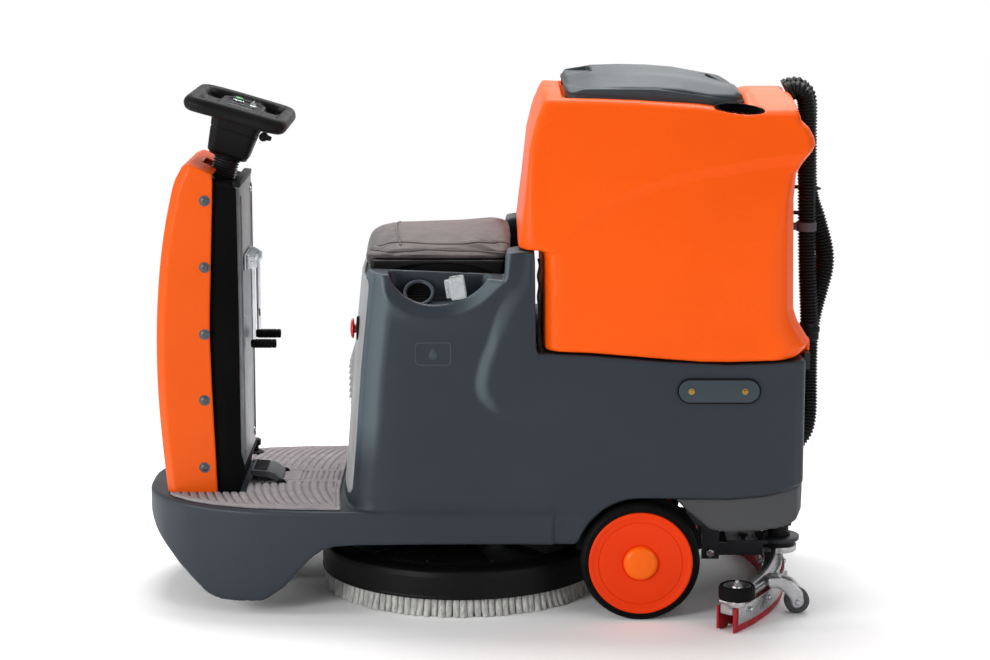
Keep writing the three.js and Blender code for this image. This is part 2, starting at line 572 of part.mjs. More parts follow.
const ROLLER_PROFILE = [[6.6, 66], [30, 66], [35, 70], [35, 90], [31, 95], [6.6, 95], [6.6, 66]];
const CASTER_PROFILE = [[4.5, -13.5], [21, -13.5], [24.5, -10], [24.5, 10], [21, 13.5],
  [4.5, 13.5], [4.5, -13.5]];
for (const [name, side] of SIDES) {
  place(`bumper_roller_${name}`, 'softRubber',
    lathe('z', ROLLER_PROFILE, 28, [ROLLER_X, side * ROLLER_Y]));
  place(`squeegee_caster_${name}`, 'casterGrey', lathe('y', CASTER_PROFILE, 24),
    { position: [CASTER_AXLE[0], side * CASTER_Y, CASTER_AXLE[1]] });
}

// ---------------------------------------------------------------- recovery tank
// SIDE is [x, z], PLAN a half outline [x, y], SECTION a half outline [y, z].
const TANK_SIDE = [
  [98, 526.5], [192, 523], [323, 512], [454, 505.5], [540, 508], [600, 512.5], [617, 534],
  [594, 573], [583, 600], [584, 641], [580, 814], [583, 873], [600, 890], [614, 915],
  [606, 932], [592, 965], [588, 992], [584, 1002], [577, 1006], [502, 1003], [496, 990],
  [460, 992], [394, 1000], [280, 1008], [205, 1010], [120, 1013], [100, 1010], [86, 972],
  [71, 909], [61, 814], [56, 774], [52, 723], [96, 721],
];
const TANK_INNER_SIDE = [
  [108, 535], [192, 532], [323, 521], [454, 514.5], [560, 517], [572, 560], [572, 814],
  [572, 880], [576, 960], [500, 978], [205, 1000], [120, 1000], [96, 972], [80, 909],
  [70, 814], [66, 735], [108, 731],
];
const TANK_PLAN = [[40, 0], [42, 150], [56, 225], [90, 275], [130, 290], [560, 290],
  [600, 262], [625, 200], [630, 0]];
const TANK_INNER_PLAN = [[49, 0], [51, 146], [64, 220], [95, 267], [132, 281], [555, 281],
  [590, 255], [600, 0]];
const TANK_WALL = 9;             // wall at the tank's sides
const TANK_FLANK = [[288, 600], [284, 720], [270, 800], [246, 900], [222, 985]];
const TANK_SECTION = [[288, 500], ...TANK_FLANK, [212, 1000], [206, 1030]];
const TANK_INNER_SECTION = [[279, 490], ...shift(TANK_FLANK, -TANK_WALL, 0), [203, 999]];
const TANK_LUG_SIDE = [[599, 515], [605.4, 513], [605.4, 502.5], [618, 502.5], [618, 534],
  [599, 534]];

function tankForm(side, halfY, section, plan) {
  return midPrism(side, halfY)
    .intersect(prismX(mirroredSection(section), 30, 640))
    .intersect(prismZ(mirrored(plan), 480, 1040));
}
function recoveryTank() {
  const shell = cut(
    tankForm(TANK_SIDE, 300, TANK_SECTION, TANK_PLAN),
    tankForm(TANK_INNER_SIDE, 290, TANK_INNER_SECTION, TANK_INNER_PLAN),
    // opening under the lid, channel down the rear, recess at the hinge
    midBox(160, 470, 150, 975, 1040),
    midBox(577, 640, 62, 480, 984),
    midBox(582, 640, 62, 983, 1040),
    midBox(596, 640, 240, 480, 533));
  return cut(add(shell, bothSides(prismY(TANK_LUG_SIDE, 150, 186))),
    midRod(230, TANK_PIVOT, 4.6));
}
place('recovery_tank', 'orange', recoveryTank());

place('float_filter', 'filterWhite', add(
  rod('z', 910, 985, [400, 0], 40),
  rod('z', 870, 911, [400, 0], 26),
  midBox(400, 571, 12, 925, 945)));

const LID_SIDE = [
  [140, 1015], [205, 1012], [280, 1010], [394, 1002], [460, 994], [492, 992], [489, 1001],
  [476, 1018], [396, 1036], [301, 1047], [254, 1048.5], [187, 1047], [144, 1040], [140, 1034],
];
const LID_SECTION = [[192, 980], [192, 1029], [150, 1039], [90, 1046], [30, 1049]];
place('tank_lid', 'lidGrey',
  midPrism(LID_SIDE, 192).intersect(prismX(mirroredSection(LID_SECTION), 130, 500)));
place('tank_hinge', 'hingeSteel', add(
  bothSides(box(604.8, 616, 190, 215, 480, 512.5)), midRod(215, TANK_PIVOT, 4)));

// ---------------------------------------------------------------- hoses
const HOSE_SIDES = 8;
// path: [x, y, z] stations along the centre line
const HOSES = [
  { name: 'drain_hose', radius: 18, steps: 14, path: [
    [588, -27, 1001], [600, -27, 1004], [612, -27, 999], [622, -27, 975], [624, -27, 900],
    [626, -27, 780], [630, -27, 650], [635, -27, 560], [636.5, -27, 515]] },
  { name: 'vacuum_hose_upper', radius: 19, steps: 16, path: [
    [588, 20, 1004], [604, 20, 1008], [619, 20, 1001], [630, 20, 975], [630, 20, 900],
    [634, 20, 800], [652, 20, 740], [668, 20, 680], [669, 20, 640], [660, 20, 600],
    [650, 20, 565]] },
  { name: 'vacuum_hose_lower', radius: 19, steps: 10, path: [
    [641, 12, 488], [641, 8, 420], [641, 0, 350], [635, 0, 314], [619, 0, 289],
    [601, 0, 266], [584, 0, 242], [578, 0, 218], [577, 0, 202]] },
];

function hose({ radius, steps, path }) {
  const circle = shapeOf(Array.from({ length: HOSE_SIDES }, (_, i) => {
    const angle = (i / HOSE_SIDES) * 2 * Math.PI;
    return [radius * Math.cos(angle), radius * Math.sin(angle)];
  }));
  const extrudePath = new THREE.CatmullRomCurve3(path.map((p) => new THREE.Vector3(...p)));
  return solid(new THREE.ExtrudeGeometry(circle, { steps, extrudePath, bevelEnabled: false }));
}
for (const spec of HOSES) place(spec.name, 'black', hose(spec));

// ---------------------------------------------------------------- seat
const SEAT_PAN_SIDE = [[-228, 653], [-234, 690], [26, 690], [20, 653]];
const CUSHION_SIDE = [
  [-228, 690.5], [-250, 690.5], [-255, 700], [-246, 722], [-225, 732], [-150, 736],
  [-60, 740], [10, 743], [38, 741], [44, 728], [36, 696], [24, 690.5],
];
place('seat_pan', 'black', midPrism(SEAT_PAN_SIDE, 192));
place('seat_cushion', 'seatBrown', midPrism(CUSHION_SIDE, 190));

export default root;
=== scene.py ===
"""Ride-on floor scrubber: nose deck with a steering column, seat box, recovery tank, a round
brush below and a curved squeegee behind.

Shapes are drawn in millimetres and turned into metres as meshes are made. The machine faces
-X, its left is -Y, up is +Z, and the floor is z = 0.
"""
import math

import bmesh
import bpy
import numpy as np
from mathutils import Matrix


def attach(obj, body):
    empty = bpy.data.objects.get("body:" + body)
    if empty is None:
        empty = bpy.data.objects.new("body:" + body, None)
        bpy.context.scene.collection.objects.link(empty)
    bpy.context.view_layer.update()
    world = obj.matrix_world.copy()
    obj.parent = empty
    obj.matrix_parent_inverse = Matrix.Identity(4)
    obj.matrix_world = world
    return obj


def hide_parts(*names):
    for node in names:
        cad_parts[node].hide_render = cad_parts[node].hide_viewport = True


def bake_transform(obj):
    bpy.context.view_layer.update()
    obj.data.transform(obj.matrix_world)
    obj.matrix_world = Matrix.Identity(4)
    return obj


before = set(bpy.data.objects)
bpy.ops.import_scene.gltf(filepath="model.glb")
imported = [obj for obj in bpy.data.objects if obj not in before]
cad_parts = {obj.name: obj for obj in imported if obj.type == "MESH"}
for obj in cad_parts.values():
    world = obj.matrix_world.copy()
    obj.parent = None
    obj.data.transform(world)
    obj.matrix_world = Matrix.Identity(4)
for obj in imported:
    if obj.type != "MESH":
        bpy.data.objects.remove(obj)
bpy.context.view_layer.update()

import openvdb as vdb
from mathutils import Matrix, Vector
from mathutils.bvhtree import BVHTree

MM = 0.001
SIDES = ((-1, 'left'), (1, 'right'))
X_AXIS = (1, 0, 0)
Y_AXIS = (0, 1, 0)
FORWARD = (-1, 0, 0)

# Driving dimensions, mm
BRUSH_X = -62
WHEEL_X, WHEEL_R = 288, 115             # rear wheels
DRIVE_X, DRIVE_Z = -545, 95             # front drive wheel
TILT = math.radians(16.5)               # steering head
HEAD = (-496, 0, 967)
PORT_X = 583                            # suction port on the squeegee
ARC_X, ARC_R = -30, 625                 # centre and radius of the squeegee arc
ARC_HALF = math.asin(384 / ARC_R)
HOSE_PITCH = 6.4

scene = bpy.context.scene
FINISH = {}                             # materials by short key, filled below


# ---------------------------------------------------------------- objects
def link(name, mesh, *materials):
    ob = bpy.data.objects.new(name, mesh)
    scene.collection.objects.link(ob)
    for material in materials:
        mesh.materials.append(material)
    return ob


def finish(ob, body, slot, *nodes):
    """says which body carries a piece and which CAD nodes it replaces; slot is not used"""
    if body:
        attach(ob, body)
    if nodes:
        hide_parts(*nodes)
    return ob


def move(ob, matrix):
    ob.data.transform(matrix)
    return ob


def apply_mods(ob):
    depsgraph = bpy.context.evaluated_depsgraph_get()
    mesh = bpy.data.meshes.new_from_object(ob.evaluated_get(depsgraph), depsgraph=depsgraph)
    old = ob.data
    ob.modifiers.clear()
    ob.data = mesh
    bpy.data.meshes.remove(old)


def read_verts(mesh, what='co'):
    flat = np.zeros(len(mesh.vertices) * 3, np.float32)
    mesh.vertices.foreach_get(what, flat)
    return flat.reshape(-1, 3)


def write_verts(mesh, coords):
    mesh.vertices.foreach_set('co', coords.astype(np.float32).ravel())
    mesh.update()


def join(name, parts):
    """one object from single-material parts, which are used up"""
    bm = bmesh.new()
    materials = []
    for part in parts:
        mesh = part.data
        if mesh.materials[0] not in materials:
            materials.append(mesh.materials[0])
        index = materials.index(mesh.materials[0])
        mesh.polygons.foreach_set('material_index', np.full(len(mesh.polygons), index, np.int32))
        bm.from_mesh(mesh)
        bpy.data.objects.remove(part)
    mesh = bpy.data.meshes.new(name)
    bm.to_mesh(mesh)
    bm.free()
    return link(name, mesh, *materials)


# ---------------------------------------------------------------- distance fields
# A field gives a signed distance for rows of points, negative inside.
def meet(first, second, radius):
    """intersection with a rounded edge"""
    u = np.maximum(first + radius, 0)
    v = np.maximum(second + radius, 0)
    return np.minimum(-radius, np.maximum(first, second)) + np.sqrt(u * u + v * v)


def fuse(first, second, radius):
    """union with a filleted joint"""
    u = np.maximum(radius - first, 0)
    v = np.maximum(radius - second, 0)
    return np.maximum(radius, np.minimum(first, second)) - np.sqrt(u * u + v * v)


def cut(shape, tool, radius):
    """subtraction with a rounded edge"""
    return meet(shape, -tool, radius)


def carve(shape, *tools):
    """sharp subtraction"""
    for tool in tools:
        shape = np.maximum(shape, -tool)
    return shape


def overlap(*fields):
    return np.maximum.reduce(fields)


def unit(value):
    return np.clip(value, 0, 1)


def ease(value):
    t = unit(value)
    return t * t * (3 - 2 * t)


def fold(points):
    """columns x, |y|, z: a field of these is the same on both sides"""
    return points[:, 0], np.abs(points[:, 1]), points[:, 2]


def rounded_box(points, low, high, radius):
    low = np.array(low, np.float32)
    high = np.array(high, np.float32)
    gap = np.abs(points - (low + high) / 2) - ((high - low) / 2 - radius)
    return np.linalg.norm(np.maximum(gap, 0), axis=1) + np.minimum(gap.max(1), 0) - radius


def capsule(points, start, end, radius):
    start = np.array(start, np.float32)
    axis = np.array(end, np.float32) - start
    t = unit(((points - start) @ axis) / (axis @ axis))
    return np.linalg.norm(points - start - t[:, None] * axis, axis=1) - radius


# ---------------------------------------------------------------- outlines
def fillet(points, corner=0.0, seg=6, closed=True):
    """polyline with rounded corners; a point is (x, y) or (x, y, corner radius)"""
    count = len(points)
    out = []
    for i, point in enumerate(points):
        radius = point[2] if len(point) > 2 else corner
        here = np.array(point[:2], float)
        if radius <= 0 or (not closed and i in (0, count - 1)):
            out.append(here)
            continue
        back = np.array(points[i - 1][:2], float) - here
        ahead = np.array(points[(i + 1) % count][:2], float) - here
        back_len, ahead_len = np.linalg.norm(back), np.linalg.norm(ahead)
        back /= back_len
        ahead /= ahead_len
        angle = math.acos(max(-1, min(1, float(back @ ahead))))
        if angle > math.pi - 0.02:
            out.append(here)
            continue
        reach = min(radius / math.tan(angle / 2), 0.48 * back_len, 0.48 * ahead_len)
        start, end = here + back * reach, here + ahead * reach
        for k in range(seg + 1):
            s = k / seg
            out.append((1 - s) ** 2 * start + 2 * s * (1 - s) * here + s * s * end)
    return np.array(out)


def mirrored(half):
    """closes a half outline with its mirror across y = 0"""
    half = list(half)
    return half + [(p[0], -p[1], *p[2:]) for p in half[::-1] if p[1] != 0]


def catmull(points, steps):
    """smooth curve through the points"""
    P = np.array(points, float)
    P = np.vstack([2 * P[0] - P[1], P, 2 * P[-1] - P[-2]])
    out = []
    for i in range(1, len(P) - 2):
        p0, p1, p2, p3 = P[i - 1], P[i], P[i + 1], P[i + 2]
        for k in range(steps):
            t = k / steps
            out.append(0.5 * (2 * p1 + (p2 - p0) * t + (2 * p0 - 5 * p1 + 4 * p2 - p3) * t ** 2
                              + (3 * p1 - p0 - 3 * p2 + p3) * t ** 3))
    out.append(P[-2])
    return np.array(out)


def rounded_rect(half_w, half_h, radius, steps=5, cx=0, cy=0):
    out = []
    for sx, sy, start in ((1, 1, 0), (-1, 1, 90), (-1, -1, 180), (1, -1, 270)):
        for i in range(steps + 1):
            angle = math.radians(start + 90 * i / steps)
            out.append((cx + sx * (half_w - radius) + radius * math.cos(angle),
                        cy + sy * (half_h - radius) + radius * math.sin(angle)))
    return out


def line_distance(px, py, poly, closed=True):
    best = np.full(px.shape, 1e18)
    count = len(poly)
    for i in range(count if closed else count - 1):
        start = poly[i]
        step = poly[(i + 1) % count] - start
        length2 = step @ step
        if length2 < 1e-12:
            continue
        t = unit(((px - start[0]) * step[0] + (py - start[1]) * step[1]) / length2)
        dx = px - start[0] - t * step[0]
        dy = py - start[1] - t * step[1]
        np.minimum(best, dx * dx + dy * dy, out=best)
    return np.sqrt(best)


def inside(px, py, poly):
    result = np.zeros(px.shape, bool)
    for i in range(len(poly)):
        x0, y0 = poly[i]
        x1, y1 = poly[(i + 1) % len(poly)]
        if y0 != y1:
            crossing = (y0 > py) != (y1 > py)
            result ^= crossing & (px < (x1 - x0) * (py - y0) / (y1 - y0) + x0)
    return result


class PlaneField:
    """a function sampled on a plane grid and read back by bilinear interpolation"""

    def __init__(self, function, low, high, grid):
        self.low = low
        self.grid = grid
        self.nx = int((high[0] - low[0]) / grid) + 2
        self.ny = int((high[1] - low[1]) / grid) + 2
        X, Y = np.meshgrid(low[0] + np.arange(self.nx) * grid,
                           low[1] + np.arange(self.ny) * grid, indexing='ij')
        self.values = function(X, Y).astype(np.float32)

    def __call__(self, x, y):
        fx = np.clip((x - self.low[0]) / self.grid, 0, self.nx - 1.001)
        fy = np.clip((y - self.low[1]) / self.grid, 0, self.ny - 1.001)
        i = fx.astype(np.int32)
        j = fy.astype(np.int32)
        fx = fx - i
        fy = fy - j
        v = self.values
        return ((v[i, j] * (1 - fx) + v[i + 1, j] * fx) * (1 - fy)
                + (v[i, j + 1] * (1 - fx) + v[i + 1, j + 1] * fx) * fy)


def outline(points, grid=2.0):
    """field of a closed outline"""
    poly = fillet(points)
    margin = 60

    def distance(X, Y):
        d = line_distance(X, Y, poly)
        return np.where(inside(X, Y, poly), -d, d)
    return PlaneField(distance, poly.min(0) - margin, poly.max(0) + margin, grid)


# ---------------------------------------------------------------- solids from fields
def surface(field, low, high, grid, slack):
    """vertices and quads of the zero surface, sampled only in blocks near it;
    slack widens the band for fields steeper than true distance"""
    block_n = 8
    low = np.array(low, np.float32) - 3 * grid
    high = np.array(high, np.float32) + 3 * grid
    blocks = np.ceil((high - low) / grid / block_n).astype(int)
    ids = np.stack(np.meshgrid(*[np.arange(n) for n in blocks], indexing='ij'), -1).reshape(-1, 3)
    centres = low + (ids * block_n + (block_n - 1) / 2) * grid
    rough = np.concatenate([field(centres[k:k + 400000].astype(np.float32))
                            for k in range(0, len(centres), 400000)])
    band = block_n * grid * 0.5 * 1.7321 * slack + grid
    near = ids[np.abs(rough) < band]
    values = np.where(rough > 0, band, -band).astype(np.float32).reshape(blocks)
    for axis in range(3):
        values = np.repeat(values, block_n, axis)
    local = np.stack(np.meshgrid(*[np.arange(block_n)] * 3, indexing='ij'), -1).reshape(-1, 3)
    batch = 1200000 // len(local)
    for k in range(0, len(near), batch):
        idx = (near[k:k + batch][:, None, :] * block_n + local[None]).reshape(-1, 3)
        values[idx[:, 0], idx[:, 1], idx[:, 2]] = field((low + idx * grid).astype(np.float32))
    volume = vdb.FloatGrid(float(band))
    volume.copyFromArray(values, ijk=(0, 0, 0), tolerance=0.0)
    verts, quads = volume.convertToQuads(isovalue=0.0)
    verts = (low + np.array(verts, np.float32) * grid).astype(np.float32)
    quads = np.array(quads, np.int64)

    # pull the vertices onto the surface by Newton steps
    probe = 0.35
    start = verts.copy()
    for _ in range(3):
        d = field(verts)
        slope = np.stack([field(verts + np.array(o, np.float32) * probe) - d
                          for o in ((1, 0, 0), (0, 1, 0), (0, 0, 1))], 1) / probe
        step = (d / np.maximum((slope * slope).sum(1), 0.15))[:, None] * slope
        length = np.maximum(np.linalg.norm(step, axis=1), 1e-6)
        verts = verts - step * np.minimum(1, 0.8 * grid / length)[:, None]
    # where the field jumps, keep the grid's own point
    bad = ~(np.linalg.norm(verts - start, axis=1) < 1.6 * grid)
    verts[bad] = start[bad]
    # a negative signed volume means the quads face inwards
    a, b, c, d = (verts[quads[:, i]] for i in range(4))
    signed = np.einsum('ij,ij->i', a, np.cross(b, c)) + np.einsum('ij,ij->i', a, np.cross(c, d))
    if signed.sum() < 0:
        quads = quads[:, ::-1]
    return verts, quads


def drop_crumbs(ob, share=0.02):
    """removes loose islands with less than a share of the vertices"""
    mesh = ob.data
    count = len(mesh.vertices)
    edges = np.zeros(len(mesh.edges) * 2, np.int32)
    mesh.edges.foreach_get('vertices', edges)
    edges = edges.reshape(-1, 2)
    label = np.arange(count)
    for _ in range(400):
        lowest = np.minimum(label[edges[:, 0]], label[edges[:, 1]])
        new = label.copy()
        np.minimum.at(new, edges[:, 0], lowest)
        np.minimum.at(new, edges[:, 1], lowest)
        new = new[new]
        new = new[new]
        if (new == label).all():
            break
        label = new
    islands, sizes = np.unique(label, return_counts=True)
    small = islands[sizes < share * count]
    if len(small):
        bm = bmesh.new()
        bm.from_mesh(mesh)
        bm.verts.ensure_lookup_table()
        loose = [bm.verts[i] for i in np.nonzero(np.isin(label, small))[0]]
        bmesh.ops.delete(bm, geom=loose, context='VERTS')
        bm.to_mesh(mesh)
        bm.free()


def solid(name, field, low, high, grid, mat, slack=1.5, crumbs=False):
    """object from a field between two corners"""
    verts, quads = surface(field, low, high, grid, slack)
    mesh = bpy.data.meshes.new(name)
    mesh.vertices.add(len(verts))
    mesh.vertices.foreach_set('co', (verts * MM).astype(np.float32).ravel())
    mesh.loops.add(quads.size)
    mesh.loops.foreach_set('vertex_index', quads.astype(np.int32).ravel())
    mesh.polygons.add(len(quads))
    mesh.polygons.foreach_set('loop_start', np.arange(0, quads.size, 4, dtype=np.int32))
    mesh.polygons.foreach_set('loop_total', np.full(len(quads), 4, np.int32))
    mesh.update(calc_edges=True)
    mesh.validate()
    mesh.shade_smooth()
    ob = link(name, mesh, FINISH[mat])
    if not crumbs:
        drop_crumbs(ob)
    return ob


# ---------------------------------------------------------------- turned, swept, cut pieces
def smooth_object(name, bm, mat, sharp):
    """object from a bmesh, smooth except at edges above the sharp angle in degrees"""
    mesh = bpy.data.meshes.new(name)
    bm.to_mesh(mesh)
    bm.free()
    mesh.shade_smooth()
    mesh.set_sharp_from_angle(angle=math.radians(sharp))
    return link(name, mesh, FINISH[mat])


def bmesh_from(verts, faces):
    bm = bmesh.new()
    made = [bm.verts.new(v) for v in verts]
    for face in faces:
        bm.faces.new([made[i] for i in face])
    return bm


def frame_of(axis, origin=(0, 0, 0), flip=1):
    """matrix taking local +Z to the axis"""
    z = Vector(axis).normalized() * flip
    x = Vector((0, 0, 1)) if abs(z.z) < 0.9 else Vector((1, 0, 0))
    y = z.cross(x).normalized()
    x = y.cross(z).normalized()
    matrix = Matrix((x, y, z)).transposed().to_4x4()
    matrix.translation = Vector(origin)
    return matrix


def revolve(profile, mat, axis=(0, 0, 1), origin=(0, 0, 0), sides=64, closed=False, corner=0,
            seg=3, flip=1, wave=None, sharp=35, name='part'):
    """profile of (radius, height[, corner radius]); open profiles start and end on the axis"""
    rows = fillet(profile, corner, seg, closed)
    count = len(rows)
    matrix = frame_of(axis, origin, flip)
    verts, faces = [], []
    for j in range(sides):
        angle = 2 * math.pi * j / sides
        for radius, height in rows:
            r = radius * (wave(angle, radius, height) if wave else 1)
            verts.append(matrix @ Vector((r * math.cos(angle), r * math.sin(angle), height)) * MM)
    for j in range(sides):
        k = (j + 1) % sides
        for i in range(count if closed else count - 1):
            i2 = (i + 1) % count
            faces.append((j * count + i, k * count + i, k * count + i2, j * count + i2))
    bm = bmesh_from(verts, faces)
    bmesh.ops.remove_doubles(bm, verts=bm.verts, dist=1e-6)
    bmesh.ops.recalc_face_normals(bm, faces=bm.faces)
    return smooth_object(name, bm, mat, sharp)


def sweep(points, radius, mat, ring, step, smooth=12, name='part'):
    """tube along a path; radius is a number or a function of (run, whole length)"""
    path = catmull(points, smooth) if smooth else np.array(points, float)
    run = np.r_[0, np.cumsum(np.linalg.norm(np.diff(path, axis=0), axis=1))]
    stations = np.linspace(0, run[-1], max(2, int(run[-1] / step) + 1))
    path = np.stack([np.interp(stations, run, path[:, k]) for k in range(3)], 1)
    tangent = np.gradient(path, axis=0)
    tangent /= np.linalg.norm(tangent, axis=1)[:, None]
    up = np.array([0, 1, 0.0])
    if abs(tangent[0] @ up) > 0.9:
        up = np.array([1.0, 0, 0])
    u = up - (up @ tangent[0]) * tangent[0]
    u /= np.linalg.norm(u)
    verts, faces = [], []
    for i, centre in enumerate(path):
        u = u - (u @ tangent[i]) * tangent[i]
        u /= np.linalg.norm(u)
        v = np.cross(tangent[i], u)
        r = radius(stations[i], stations[-1]) if callable(radius) else radius
        for k in range(ring):
            angle = 2 * math.pi * k / ring
            verts.append((centre + r * (math.cos(angle) * u + math.sin(angle) * v)) * MM)
    last = len(path) - 1
    for i in range(last):
        for k in range(ring):
            k2 = (k + 1) % ring
            faces.append((i * ring + k, i * ring + k2, (i + 1) * ring + k2, (i + 1) * ring + k))
    faces.append(range(ring)[::-1])
    faces.append([last * ring + k for k in range(ring)])
    bm = bmesh_from(verts, faces)
    bmesh.ops.recalc_face_normals(bm, faces=bm.faces)
    return smooth_object(name, bm, mat, 60)


def slab(poly, start, end, mat, bevel, seg=2, plane='xz', name='part'):
    """polygon in a plane, extruded along the third axis, with bevelled rims"""
    count = len(poly)
    verts = []
    for h in sorted((start, end)):
        for p in poly:
            corner = (p[0], p[1], h) if plane == 'xy' else (p[0], h, p[1])
            verts.append(Vector(corner) * MM)
    faces = [range(count)[::-1], range(count, 2 * count)]
    for i in range(count):
        j = (i + 1) % count
        faces.append((i, j, count + j, count + i))
    bm = bmesh_from(verts, faces)
    bmesh.ops.recalc_face_normals(bm, faces=bm.faces)
    edges = [e for e in bm.edges
             if len(e.link_faces) == 2 and e.calc_face_angle(0) > math.radians(30)]
    bmesh.ops.bevel(bm, geom=edges, offset=bevel * MM, segments=seg, profile=0.5,
                    affect='EDGES', clamp_overlap=True)
    return smooth_object(name, bm, mat, 35)


def block(low, high, mat, bevel, seg):
    poly = [(low[0], low[1]), (high[0], low[1]), (high[0], high[1]), (low[0], high[1])]
    return slab(poly, low[2], high[2], mat, bevel, seg, 'xy')


def dome_screw(origin, flip, radius, mat):
    """dome head with a washer and a socket, along Y"""
    r = radius
    profile = [(0, 1.6), (r * 0.42, 1.6), (r * 0.46, 3.4), (r * 0.75, 3.1), (r, 1.6),
               (r * 1.02, 0.9), (r * 1.45, 0.8), (r * 1.5, 0), (0, 0)]
    return revolve(profile, mat, axis=Y_AXIS, origin=origin, sides=20, flip=flip)


# ---------------------------------------------------------------- materials
def srgb(*rgb):
    def linear(c):
        c = c / 255
        return c / 12.92 if c <= 0.04045 else ((c + 0.055) / 1.055) ** 2.4
    return tuple(linear(c) for c in rgb) + (1.0,)


def tint(colour, gain, lift=0):
    return tuple(min(1, c * gain + lift) for c in colour[:3]) + (1,)


class Shader:
    """small helper round a node tree"""

    def __init__(self, name):
        self.material = bpy.data.materials.new(name)
        self.material.use_nodes = True
        self.tree = self.material.node_tree
        self.bsdf = self.tree.nodes['Principled BSDF']
        self.coords = self.node('ShaderNodeTexCoord')

    def node(self, kind, **settings):
        node = self.tree.nodes.new(kind)
        for key, value in settings.items():
            setattr(node, key, value)
        return node

    def feed(self, socket, value):
        if isinstance(value, bpy.types.NodeSocket):
            self.tree.links.new(value, socket)
        else:
            socket.default_value = value

    def set(self, **values):
        """inputs of the main shader, with _ for a space"""
        for key, value in values.items():
            self.feed(self.bsdf.inputs[key.replace('_', ' ')], value)

    def place(self, node, stretch):
        mapping = self.node('ShaderNodeMapping')
        mapping.inputs['Scale'].default_value = stretch
        self.feed(mapping.inputs['Vector'], self.coords.outputs['Object'])
        self.feed(node.inputs['Vector'], mapping.outputs['Vector'])

    def noise(self, scale, detail=3, rough=0.5, stretch=(1, 1, 1)):
        node = self.node('ShaderNodeTexNoise')
        node.inputs['Scale'].default_value = scale
        node.inputs['Detail'].default_value = detail
        node.inputs['Roughness'].default_value = rough
        self.place(node, stretch)
        return node.outputs['Fac']

    def voronoi(self, scale):
        node = self.node('ShaderNodeTexVoronoi')
        node.inputs['Scale'].default_value = scale
        self.place(node, (1, 1, 1))
        return node.outputs['Distance']

    def ramp(self, fac, *stops):
        """stops are (position, colour)"""
        node = self.node('ShaderNodeValToRGB')
        elements = node.color_ramp.elements
        while len(elements) < len(stops):
            elements.new(0.5)
        for i, (position, colour) in enumerate(stops):
            elements[i].position = position
            elements[i].color = colour
        self.feed(node.inputs['Fac'], fac)
        return node.outputs['Color']

    def remap(self, value, source, target):
        """takes the source range to the target range"""
        node = self.node('ShaderNodeMapRange')
        for key, x in zip(('From Min', 'From Max', 'To Min', 'To Max'), (*source, *target)):
            node.inputs[key].default_value = x
        self.feed(node.inputs['Value'], value)
        return node.outputs['Result']

    def mix(self, fac, first, second):
        node = self.node('ShaderNodeMix', data_type='RGBA')
        # sockets 0, 6, 7 and output 2 are the factor and the colours
        for index, value in ((0, fac), (6, first), (7, second)):
            self.feed(node.inputs[index], value)
        return node.outputs[2]

    def multiply(self, first, second):
        node = self.node('ShaderNodeMath', operation='MULTIPLY')
        self.feed(node.inputs[0], first)
        self.feed(node.inputs[1], second)
        return node.outputs[0]

    def bump(self, height, strength, distance, chain=None):
        node = self.node('ShaderNodeBump')
        node.inputs['Strength'].default_value = strength
        node.inputs['Distance'].default_value = distance
        self.feed(node.inputs['Height'], height)
        if chain is not None:
            self.feed(node.inputs['Normal'], chain)
        return node.outputs['Normal']

    def split(self, vector):
        node = self.node('ShaderNodeSeparateXYZ')
        self.feed(node.inputs[0], vector)
        return node.outputs


def moulded(name, rgb, rough, tone, grain, relief, edge, spec, coat=0, painted_sheen=0):
    """plastic: slow tone drift, faint grain, paler ridges as edge wear and painted highlight,
    hollows darker as painted shade, an optional painted sheen, dull patches
    """
    sh = Shader(name)
    base = srgb(*rgb)
    colour = sh.ramp(sh.noise(scale=3, detail=4, rough=0.55),
                     (0.32, tint(base, 1 - tone * 1.6)), (0.5, base),
                     (0.70, tint(base, 1 + tone * 1.4, 0.002)))
    fine = sh.noise(scale=grain * 0.35, detail=3, rough=0.6)
    colour = sh.mix(sh.remap(fine, (0.35, 0.7), (0, 0.10)), colour, tint(base, 0.8))
    # pointiness: ridges paler as edge wear and painted highlight, hollows darker as painted shade
    point = sh.node('ShaderNodeNewGeometry').outputs['Pointiness']
    colour = sh.mix(sh.remap(point, (0.515, 0.60), (0, edge)), colour, tint(base, 1.5, 0.05))
    colour = sh.mix(sh.remap(point, (0.485, 0.42), (0, edge * 1.3)), colour, tint(base, 0.45))
    if painted_sheen > 0:
        # painted sheen: flanks that face forwards go paler, above the deck only, a painted
        # reflection of the key light
        normal = sh.split(sh.node('ShaderNodeNewGeometry').outputs['Normal'])
        place = sh.split(sh.coords.outputs['Object'])
        amount = sh.multiply(sh.remap(normal['X'], (-0.08, -0.36), (0, painted_sheen)),
                             sh.remap(place['Z'], (0.30, 0.38), (0, 1)))
        colour = sh.mix(amount, colour, srgb(104, 120, 128))
    sh.set(Base_Color=colour)
    sh.set(Roughness=sh.remap(sh.noise(scale=7, detail=4, rough=0.6), (0.3, 0.7),
                              (max(0.05, rough - 0.06), min(1, rough + 0.07))))
    sh.set(Specular_IOR_Level=spec)
    if coat > 0:
        sh.set(Coat_Weight=coat, Coat_Roughness=0.12)
    normal = sh.bump(sh.noise(scale=grain, detail=2), strength=relief, distance=0.0006)
    normal = sh.bump(sh.noise(scale=26, detail=2), strength=0.05, distance=0.003, chain=normal)
    sh.set(Normal=normal)
    return sh.material


